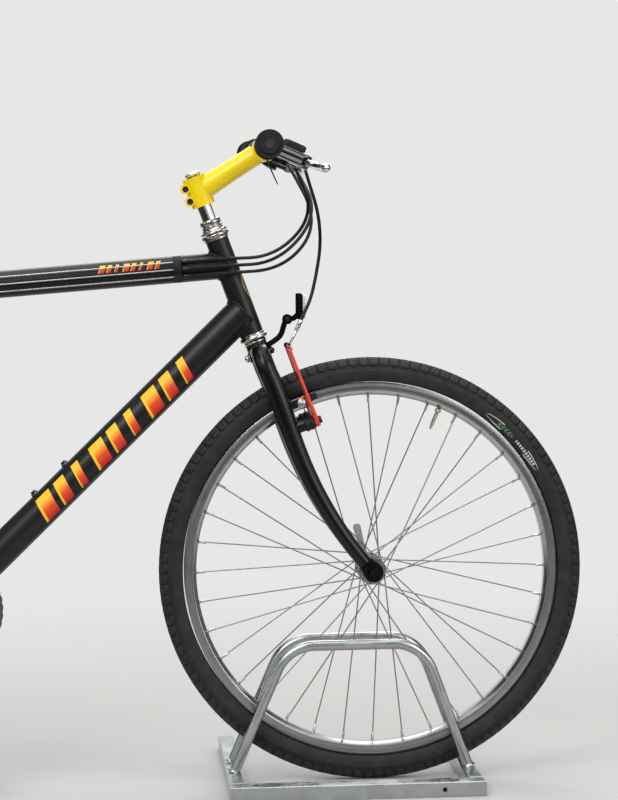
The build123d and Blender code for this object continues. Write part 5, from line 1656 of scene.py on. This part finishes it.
@dataclass
class Cables:
    """Housings as smooth lines through listed corners, with a ferrule at each end.

    Attributes:
        controls: levers and shifters, where the housings begin.
        front_brake: the front brake, where one of them ends.
        rear_brake: the rear brake, where another ends.
        radius: the housings' radius.
        ferrule_r: the ferrules' radius.
        ferrule: their length.
        stop_gap: distance of the cables from the top tube's round.
        head_stop: distance of the first stops' mouths from the steering axis.
        seat_stop: distance of the last stops' mouths from the seat tube's axis.
        angles: the stops' angles from the top tube's top: rear brake, front shift and rear shift.
    """

    controls: Controls
    front_brake: RimBrake
    rear_brake: RimBrake
    radius: float = 0.0026
    ferrule_r: float = 0.0034
    ferrule: float = 0.011
    stop_gap: float = 0.0045
    head_stop: float = 0.0682
    seat_stop: float = 0.0632
    angles: tuple[float, float, float] = (math.radians(64), math.radians(90), math.radians(116))

    def beside(self, along: float, angle: float) -> Array:
        """Point beside the top tube.

        Args:
            along: distance from the steering axis.
            angle: angle from the tube's top, towards its right.

        Returns:
            The point.
        """
        r = AT.top_r + self.stop_gap
        top = AT.top_head - AT.top_dir * along + np.cross(AT.top_dir, SIDE) * (r * math.cos(angle))
        return top - SIDE * (r * math.sin(angle))

    def crossings(self) -> Array:
        """Routes of the housings that cross the steering.

        Returns:
            Corners (3, 6, 3) from the bar to the top tube.
        """
        hand, top = self.controls, AT.head_top_s
        lines = (
            Crossing(-1.0, hand.pod_at, hand.shift_barrel, self.angles[0],
                     (top - 0.014, 0.152, -0.042), (top - 0.055, 0.073, -0.033)),
            Crossing(1.0, hand.mount_at, hand.brake_barrel, self.angles[1],
                     (top - 0.018, 0.160, 0.008), (top - 0.065, 0.074, -0.034)),
            Crossing(1.0, hand.pod_at, hand.shift_barrel, self.angles[2],
                     (top - 0.031, 0.155, -0.008), (top - 0.077, 0.079, -0.033)),
        )
        routes = []
        for line in lines:
            begin = hand.mouth(line.side, line.from_end, line.barrel)
            stop = self.beside(self.head_stop, line.angle)
            routes.append([
                begin, begin - SIDE * line.side * 0.038, AT.steer(*line.front), AT.steer(*line.low),
                stop + AT.top_dir * 0.058, stop])
        return np.array(routes)

    def front_route(self) -> Array:
        """Route of the front brake's housing.

        Returns:
            Corners (6, 3) from the lever to a place within the noodle.
        """
        begin = self.controls.mouth(-1.0, self.controls.mount_at, self.controls.brake_barrel)
        end, way = self.front_brake.noodle()
        loop = end + way * 0.110 + np.array([-0.013, -0.002, 0.036])
        return np.array([begin, begin + SIDE * 0.034, loop, end + way * 0.040, end, end - way * 0.023])

    def rear_routes(self) -> dict[str, Array]:
        """Routes of the housings on the frame, from the last stops on.

        Returns:
            Corners by the piece's name.
        """
        stop = float(np.linalg.norm(AT.top_head - AT.top_seat)) - self.seat_stop
        brake, front, rear = self.angles
        end, way = self.rear_brake.noodle()
        stay = AT.stay_knee - AT.stay_foot
        hanger = AT.rear + np.array([0.006, -0.0825, -0.027])
        seat = AT.bracket - SIDE * (AT.seat_r + self.radius + 0.004)
        seat_length = float(np.linalg.norm(AT.top_seat - AT.bracket))
        return {
            "rear_brake_housing": np.array([
                self.beside(stop, brake), self.beside(stop + 0.0592, brake) - SIDE * 0.008,
                end + way * 0.084, end]),
            "rear_shift_housing": np.array([
                self.beside(stop, rear), self.beside(stop + 0.0652, rear) - SIDE * 0.016,
                AT.stay_foot + stay * 0.8 - SIDE * 0.0586, AT.stay_foot + AT.stay_up * 0.030 - SIDE * 0.0882,
                hanger + [-0.053, -0.008, 0.033], hanger + [-0.058, -0.006, -0.029],
                hanger + [-0.0103, -0.004, -0.008]]),
            "front_shift_housing": np.array([
                self.beside(stop, front), self.beside(stop + 0.0412, front),
                seat + AT.seat_up * (seat_length - 0.090), seat + AT.seat_up * 0.1173]),
        }

    def ferrules(
        self, dresser: Dresser, name: str, ends: Array, ways: Array, body: str, finish: Any
    ) -> None:
        """Sleeves over the housings' ends.

        Args:
            dresser: gives finish and body.
            name: the piece's name.
            ends: points (k, 3) of the ends.
            ways: directions (k, 3) from the ends into the housings.
            body: the body that they ride on.
            finish: their finish.
        """
        r, length = self.ferrule_r, self.ferrule
        rows = [(r * 0.8, 0.0), (r, 0.0006), (r, length - 0.001), (r * 0.93, length),
                (r * 0.8, length + 0.0006)]
        dresser.add(turned(name, rows, ends, ways, 20), finish, body, "steel")

    def build(self, dresser: Dresser) -> None:
        """Make and dress the housings and their ferrules.

        Args:
            dresser: gives finishes and bodies.
        """
        helper = np.array([0.3, 1.0, 0.2])
        routes = self.crossings()
        lines = np.stack([nurbs_line(route) for route in routes])
        crossing = tube("steering_housings", lines, self.radius, 14, helper=helper)
        dresser.paint(crossing, HOUSING)
        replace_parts(crossing, "steering_cables")
        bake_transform(crossing)
        first, last = routes[:, 0], routes[:, -1]
        self.ferrules(dresser, "bar_ferrules", first, routes[:, 1] - first, "front_end", BOLT)
        self.ferrules(dresser, "stop_ferrules", last, routes[:, -2] - last, "frame", BOLT)
        route = self.front_route()
        line = tube("front_brake_housing", nurbs_line(route), self.radius, 14, helper=helper)
        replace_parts(dresser.add(line, HOUSING, "front_end", "plastic_black"), "front_brake_cable")
        ways = route[[1, -2]] - route[[0, -1]]
        self.ferrules(dresser, "front_brake_ferrules", route[[0, -1]], ways, "front_end", ALLOY)
        sleeve = route[-1] + 0.006 * unit(ways[-1])
        self.ferrules(dresser, "noodle_sleeve", sleeve, ways[-1], "front_end", ALLOY)
        for name, route in self.rear_routes().items():
            line = tube(name, nurbs_line(route), self.radius, 14, helper=np.array([0.1, 1.0, 0.1]))
            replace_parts(dresser.add(line, HOUSING, "frame", "plastic_black"), "rear_cables")
            ways = route[[1, -2]] - route[[0, -1]]
            self.ferrules(dresser, f"{name}_ferrules", route[[0, -1]], ways, "frame", BOLT)


@dataclass
class Welds:
    """Rippled beads where the frame's tubes meet, and round the stand's hoops.

    Attributes:
        bead: a bead's radius.
        ripples: how many ripples it has round a tube.
        steps: points along it.
        hoops: place along X of each hoop's feet from the front axle, and its lean along X.
        hoop_rise: the height that the lean goes with.
        foot_y: the feet's distance from the wheel's plane.
        foot_z: their height.
    """

    bead: float = 0.0021
    ripples: int = 44
    steps: int = 264
    hoops: tuple[tuple[float, float], ...] = ((-0.215, 0.084), (0.1426, -0.068))
    hoop_rise: float = 0.190
    foot_y: float = 0.039
    foot_z: float = 0.0218

    def seam(
        self, start: Array, end: Array, radius: float, point: Array, axis: Array, other: float
    ) -> Array:
        """Line round a tube where it meets another tube's round.

        Each line of the tube, at one angle about its axis, is followed to its first crossing with the other
        round: the smaller root of a quadratic in the distance. Without a crossing it runs to the tube's end.

        Args:
            start: far end of the tube's axis.
            end: near end, on the other tube's axis.
            radius: the tube's radius.
            point: a point of the other tube's axis.
            axis: the other tube's direction.
            other: the other tube's radius.

        Returns:
            Points of the closed line.
        """
        span = end - start
        length = float(np.linalg.norm(span))
        d = span / length
        u, v, _ = face_frames(d)[0]
        angle = around(self.steps)[:, None]
        edge = start + radius * (np.cos(angle) * u + np.sin(angle) * v)
        w = edge - point
        w = w - (w @ axis)[:, None] * axis
        g = d - (d @ axis) * axis
        b, c, gg = w @ g, np.sum(w * w, 1) - other**2, g @ g
        root = b * b - gg * c
        reach = np.where(root > 0, (-b - np.sqrt(np.maximum(root, 0))) / gg, length)
        return edge + d * np.minimum(reach, length)[:, None]

    def build(self, dresser: Dresser) -> None:
        """Make and dress the beads.

        Args:
            dresser: gives finishes and bodies.
        """
        seat = (AT.bracket, AT.seat_up, AT.seat_r)
        head = (AT.steer(AT.head_low_s), AT.up, AT.head_r)
        shell = (AT.bracket, SIDE, AT.shell_r)
        joints = {
            "weld_top_head": (AT.top_seat, AT.top_head, AT.top_r, *head),
            "weld_down_head": (AT.bracket, AT.down_head, AT.down_r, *head),
            "weld_top_seat": (AT.top_head, AT.top_seat, AT.top_r, *seat),
            "weld_down_shell": (AT.down_head, AT.bracket, AT.down_r, *shell),
            "weld_seat_shell": (AT.top_seat, AT.bracket, AT.seat_r, *shell),
        }
        size = self.bead * (1 + 0.16 * np.cos(self.ripples * around(self.steps)))
        for name, joint in joints.items():
            path = self.seam(*joint)
            bead = tube(name, path, size, 8, True, unit(joint[1] - joint[0]))
            dresser.add(bead, FRAME_PAINT, "frame", "frame_black")
        feet = [(AT.half_base + x, y * self.foot_y, self.foot_z) for x, _ in self.hoops for y in SIDES]
        lean = [(tilt, 0.0, self.hoop_rise) for _, tilt in self.hoops for _ in SIDES]
        rows = [(0.0112, -0.0005), (0.0110, 0.0008), (0.0098, 0.0022), (0.0086, 0.0036), (0.0080, 0.0040)]
        dresser.add(turned("hoop_welds", rows, feet, lean, 32), ZINC, "front_end", "zinc")


@dataclass
class Drive:
    """Bolts and caps of the crank.

    Attributes:
        spider_r: distance of the chainring bolts from the crank's axis.
        bolt_y: the bolts' place along that axis.
        arm_y: distance of the crank arms' outer faces from the wheel's plane.
    """

    spider_r: float = 0.07098
    bolt_y: float = -0.056
    arm_y: float = 0.074

    def build(self, dresser: Dresser) -> None:
        """Make and dress the chainring bolts and the crank's dust caps.

        Args:
            dresser: gives finishes and bodies.
        """
        turn = math.radians(90) + around(5)
        x, z = self.spider_r * np.cos(turn), self.spider_r * np.sin(turn)
        spots = AT.bracket + np.stack([x, 0 * turn + self.bolt_y, z], -1)
        dresser.add(bolts("chainring_bolts", 0.0058, 0.0022, spots, -SIDE), STEEL, "crank", "steel")
        cap = [(0.0118, -0.0004), (0.0118, 0.0010), (0.0104, 0.0022), (0.0050, 0.0026), (0.0046, 0.0014),
               (0.001, 0.0012)]
        ends = [AT.bracket + SIDE * side * self.arm_y for side in SIDES]
        dresser.add(turned("crank_caps", cap, ends, [-SIDE, SIDE], 32), PLASTIC, "crank", "plastic_black")


@dataclass
class Headset:
    """Turned rings of the steering bearings: lathe profiles with rounded edges and grooves.

    Attributes:
        cup_h: height of a pressed cup.
        gap: space between the upper cup and the stack over it.
        upper: radius and height of the upper stack's rows, over the upper cup.
        cup: radius and height of a cup's rows, from the head tube outwards.
        race: radius and height of the crown race's rows.
    """

    cup_h: float = 0.010
    gap: float = 0.0010
    upper: tuple[tuple[float, float], ...] = (
        (0.0165, 0.0003), (0.0210, 0.0004), (0.0215, 0.0012), (0.0212, 0.0026), (0.0190, 0.0040),
        (0.0172, 0.0056), (0.0170, 0.0078), (0.0150, 0.0082), (0.0150, 0.0090), (0.0164, 0.0093),
        (0.0168, 0.0102), (0.0164, 0.0111), (0.0146, 0.0114), (0.0146, 0.0132), (0.0160, 0.0136),
        (0.0165, 0.0143), (0.0165, 0.0200), (0.0158, 0.0207), (0.0136, 0.0210))
    cup: tuple[tuple[float, float], ...] = (
        (0.0180, 0.0001), (0.0192, 0.0003), (0.0196, 0.0012), (0.0191, 0.0024), (0.0198, 0.0036),
        (0.0214, 0.0048), (0.0220, 0.0062), (0.0220, 0.0084), (0.0213, 0.0095), (0.0170, 0.0099))
    race: tuple[tuple[float, float], ...] = (
        (0.0168, 0.0001), (0.0178, 0.0004), (0.0180, 0.0020), (0.0174, 0.0036), (0.0162, 0.0048))

    def build(self, dresser: Dresser) -> None:
        """Make and dress the rings of both bearings.

        Args:
            dresser: gives finishes and bodies.
        """
        ends = [AT.steer(AT.head_low_s), AT.steer(AT.head_top_s)]
        cups = turned("headset_cup_rings", self.cup, ends, [-AT.up, AT.up], 64)
        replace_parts(dresser.add(cups, WORN_CHROME, "frame", "chrome"), "headset_cups")
        foot = AT.steer(AT.head_top_s + self.cup_h + self.gap)
        stack = turned("headset_stack", self.upper, foot, AT.up, 64)
        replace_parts(dresser.add(stack, WORN_CHROME, "front_end", "chrome"), "headset_races")
        race = turned("crown_race", self.race, AT.steer(AT.crown_s), AT.up, 64)
        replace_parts(dresser.add(race, WORN_CHROME, "front_end", "chrome"), "headset_races")


@dataclass
class FrameBolts:
    """Bolts in the bottle bosses and through the seat clamp.

    Attributes:
        bosses: the bosses' distances from the bottom bracket along the down tube.
        boss_top: height of their mouths over the down tube's axis.
        seat_top: how far the seat tube reaches over the top tube's axis.
        clamp_h: height of the seat clamp.
        clamp_back: distance of its bolt behind the seat tube's axis.
        clamp_half: half the width of its ears.
    """

    bosses: tuple[float, float] = (0.216, 0.280)
    boss_top: float = 0.028
    seat_top: float = 0.046
    clamp_h: float = 0.015
    clamp_back: float = 0.0229
    clamp_half: float = 0.010

    def build(self, dresser: Dresser) -> None:
        """Make and dress the bolts.

        Args:
            dresser: gives finishes and bodies.
        """
        up = np.cross(DOWN_DIR, SIDE)
        spots = [AT.bracket + DOWN_DIR * along + up * self.boss_top for along in self.bosses]
        dresser.add(bolts("bottle_bolts", 0.0042, 0.0030, spots, up), BOLT, "frame", "steel")
        back = np.cross(AT.seat_up, SIDE)
        height = self.seat_top - self.clamp_h / 2 - 0.001
        middle = AT.top_seat + AT.seat_up * height + back * self.clamp_back
        ends = [middle + SIDE * side * self.clamp_half for side in SIDES]
        dresser.add(bolts("seat_clamp_bolts", 0.0042, 0.0034, ends, [-SIDE, SIDE]), STEEL, "frame", "steel")


@dataclass
class Saddle:
    """Padded saddle as one crowned skin over its shell.

    Attributes:
        rows: sections along the saddle.
        columns: points round a section.
        inset: how far the skin stays within the solid saddle's box.
    """

    rows: int = 72
    columns: int = 48
    inset: float = 0.001

    def build(self, dresser: Dresser) -> None:
        """Make and dress the skin: sections along the saddle, flat below and crowned above.

        They are wide behind and narrow in front, by a logistic curve, and close at nose and tail.

        Args:
            dresser: gives finishes and bodies.
        """
        low, high = (np.array(v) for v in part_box("saddle"))
        t = np.linspace(0, 1, self.rows)[:, None]
        angle = around(self.columns)[None]
        x = low[0] + self.inset + (high[0] - low[0] - 2 * self.inset) * t
        half = (high[1] - low[1]) / 2 - self.inset
        spread = 0.21 + 0.79 / (1 + np.exp((t - 0.40) / 0.075))
        ends = np.clip(1 - (2 * t - 1) ** 12, 0, 1) ** 0.5
        width = half * spread * ends * (0.88 + 0.12 * np.sin(np.pi * np.clip(t / 0.5, 0, 1)))
        sag = 0.010 * np.sin(np.pi * np.clip((t - 0.1) / 0.9, 0, 1)) + 0.006 * t**4
        top = high[2] - self.inset - sag
        bottom = low[2] + 0.006 + 0.004 * np.sin(np.pi * t)
        c, s = np.cos(angle), np.sin(angle)
        y = width * np.sign(c) * np.abs(c) ** 0.75
        crown = np.where(s > 0, np.abs(s) ** 0.62, 0.0)
        drop = np.where(s < 0, np.abs(s) ** 0.5, 0.0)
        seam = bottom + (top - bottom) * 0.32
        z = seam + (top - seam) * crown * ends - (seam - bottom) * drop * ends
        dip = 0.004 * np.exp(-(y / 0.012) ** 2) * np.sin(np.pi * t) * (s > 0)
        points = np.stack([np.broadcast_to(x, y.shape), y, z - dip], -1)
        skin = surface_mesh("saddle_skin", points, False, True, caps=True)
        dresser.add(skin, Leather(), "frame", "saddle_cover")
        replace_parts(skin, "saddle")


@dataclass
class Studio:
    """Pale floor, soft lamps and the camera at the photograph's angle.

    Attributes:
        floor_colour: the floor near the bicycle.
        sky: the backdrop.
        room: the dark room that reflections see.
        panel: the bright panels in it.
        even: strength of the even light.
        floor_half: half the floor's width.
        stripes: place across the room and half width of each upright panel.
        turn: the camera's yaw, pitch and roll in degrees.
        place: the camera's place, measured along X from the front axle.
        focal: its focal length in pixels of the photograph.
        photo_h: the photograph's height in pixels.
        sensor: height of the camera's sensor in millimetres.
    """

    floor_colour: Colour = (0.53, 0.52, 0.51)
    sky: Colour = (0.80, 0.80, 0.795)
    room: Colour = (0.030, 0.030, 0.031)
    panel: Colour = (1.0, 1.0, 0.99)
    even: float = 0.5
    floor_half: float = 12.0
    stripes: tuple[tuple[float, float], ...] = (
        (-0.90, 0.06), (-0.58, 0.06), (-0.24, 0.05), (0.06, 0.03), (0.32, 0.05), (0.60, 0.05), (0.88, 0.07))
    turn: tuple[float, float, float] = (4.11, -3.565, -0.8)
    place: tuple[float, float, float] = (-0.3993, -4.2952, 0.8522)
    focal: float = 2828.9
    photo_h: float = 800.0
    sensor: float = 36.0

    def floor(self) -> None:
        """Flat floor whose colour runs into the background with distance."""
        side = np.linspace(-self.floor_half, self.floor_half, 9)
        x, y = np.meshgrid(side, side, indexing="ij")
        floor = surface_mesh("floor", np.stack([x, y, 0 * x - 0.0005], -1)[:, ::-1], False, False)
        s = Surface("pale_floor", Roughness=0.75, Specular_IOR_Level=0.2)
        paler = tuple(c * 1.04 for c in self.floor_colour)
        s.set(Base_Color=s.mix(s.noise(3.0, 6.0), self.floor_colour, paler))
        x, y, _ = s.xyz((0.35, 0.0, 0.0))
        far = ((x * x + y * y) ** 0.5).smooth(0.7, 2.4)
        s.put(s.out, s.blend(far, Value(s, s.shader.outputs[0]), s.node("ShaderNodeBsdfTransparent")))
        floor.data.materials.append(s.material)

    def world(self) -> None:
        """Pale backdrop, a dark room with bright panels that reflections see, and an even light.

        The panels are upright stripes across the room, between the floor and the ceiling, and one overhead.
        """
        world = bpy.data.worlds.new("studio")
        bpy.context.scene.world = world
        world.use_nodes = True
        s = Nodes(world.node_tree)
        way = s.node("ShaderNodeTexCoord", out="Generated")
        x, y, z = (s.node("ShaderNodeSeparateXYZ", None, {0: way}, i) for i in range(3))
        panels = z.smooth(0.62, 0.78) * z.smooth(0.97, 0.90)
        wall = z.smooth(-0.1, 0.0) * z.smooth(0.55, 0.45) * y.smooth(0.3, 0.1)
        for place, half in self.stripes:
            stripe = abs(x - place).smooth(half + 0.05, half)
            panels = panels.math("MAXIMUM", stripe * wall)
        room = s.mix(y.smooth(0.45, 0.97), s.mix(panels, self.room, self.panel), self.sky)
        kinds = ("Camera", "Glossy", "Transmission")
        rays = [s.node("ShaderNodeLightPath", out=f"Is {kind} Ray") for kind in kinds]
        shade = s.mix(rays[0], room, self.sky)
        seen = s.node("ShaderNodeBackground", None, {"Color": shade, "Strength": 1.0})
        lit = s.node("ShaderNodeBackground", None, {"Color": (1.0, 0.99, 0.98), "Strength": self.even})
        share = rays[0].math("MAXIMUM", rays[1]).math("MAXIMUM", rays[2])
        out = s.tree.nodes.new("ShaderNodeOutputWorld")
        s.put(out.inputs["Surface"], s.blend(share, lit, seen))

    def stand(self, made: bpy.types.Object, axes: Sequence[Array], place: Sequence[float]) -> None:
        """Link a lamp or camera into the scene.

        Args:
            made: the object.
            axes: its three directions.
            place: where it stands.
        """
        rows = np.column_stack([*axes, place])
        made.matrix_world = Matrix(np.vstack([rows, [0, 0, 0, 1]]).tolist())
        bpy.context.scene.collection.objects.link(made)

    def lamp(
        self, name: str, place: Sequence[float], target: Sequence[float], size: float, power: float
    ) -> None:
        """Square soft lamp that faces a point.

        Args:
            name: the lamp's name.
            place: where it stands.
            target: the point that it faces.
            size: its width.
            power: its power in watts.
        """
        light = bpy.data.lights.new(name, "AREA")
        light.size = size
        light.energy = power
        back = unit(np.array(place, float) - np.array(target, float))
        right = unit(np.cross(UPRIGHT, back))
        self.stand(bpy.data.objects.new(name, light), [right, np.cross(back, right), back], place)

    def camera(self) -> None:
        """Camera of the photograph: it looks along +Y, turned by yaw and pitch and rolled about its view."""
        yaw, pitch, roll = (math.radians(v) for v in self.turn)
        ahead = np.array([math.sin(yaw) * math.cos(pitch), math.cos(yaw) * math.cos(pitch), math.sin(pitch)])
        right = np.array([math.cos(yaw), -math.sin(yaw), 0.0])
        up = np.cross(right, ahead)
        c, s = math.cos(roll), math.sin(roll)
        right, up = c * right + s * up, c * up - s * right
        data = bpy.data.cameras.new("camera")
        data.sensor_fit = "VERTICAL"
        data.sensor_height = self.sensor
        data.lens = self.focal / self.photo_h * self.sensor
        data.clip_end = 100.0
        made = bpy.data.objects.new("camera", data)
        self.stand(made, [right, up, -ahead], np.array(self.place) + AHEAD * AT.half_base)
        bpy.context.scene.camera = made

    def build(self) -> None:
        """Set up the whole studio."""
        bpy.context.scene.view_settings.view_transform = "Standard"
        self.floor()
        self.world()
        self.lamp("key", (-1.6, -3.2, 3.4), (0.2, 0.0, 0.6), 2.4, 95.0)
        self.lamp("fill", (2.8, -2.6, 2.2), (0.3, 0.0, 0.5), 2.2, 45.0)
        self.lamp("rim", (0.6, 3.0, 3.0), (0.2, 0.0, 0.6), 2.4, 60.0)
        self.lamp("top", (0.2, -0.2, 4.2), (0.2, 0.0, 0.4), 2.8, 60.0)
        self.camera()


def main() -> None:
    """Build the studio and all sub-assemblies in order."""
    logging.basicConfig(level=logging.INFO, format="%(message)s")
    Studio().build()
    dresser = Dresser()
    dresser.nodes()
    Wheel("front", "front_wheel", AT.front, math.radians(66), (-0.033, 0.033)).build(dresser)
    Wheel("rear", "rear_wheel", AT.rear, math.radians(200), (-0.020, 0.033)).build(dresser)
    controls = Controls()
    front_brake = RimBrake(
        "front_brake", "front_end", AT.steer(0.0), AT.up, AT.fwd,
        tube_q=0.0, tube_r=0.0146, boss_y=0.0467, axle_q=AT.rake)
    rear_brake = RimBrake(
        "rear_brake", "frame", AT.rear, AT.stay_up, np.cross(AT.stay_up, SIDE),
        tube_q=0.01787, tube_r=0.0085, boss_y=0.05465, axle_q=0.0)
    cables = Cables(controls, front_brake, rear_brake)
    small = (Welds(), Drive(), FrameBolts(), Headset(), Saddle())
    for assembly in (Cockpit(), controls, cables, front_brake, rear_brake, *small):
        assembly.build(dresser)


if __name__ == "__main__":
    main()
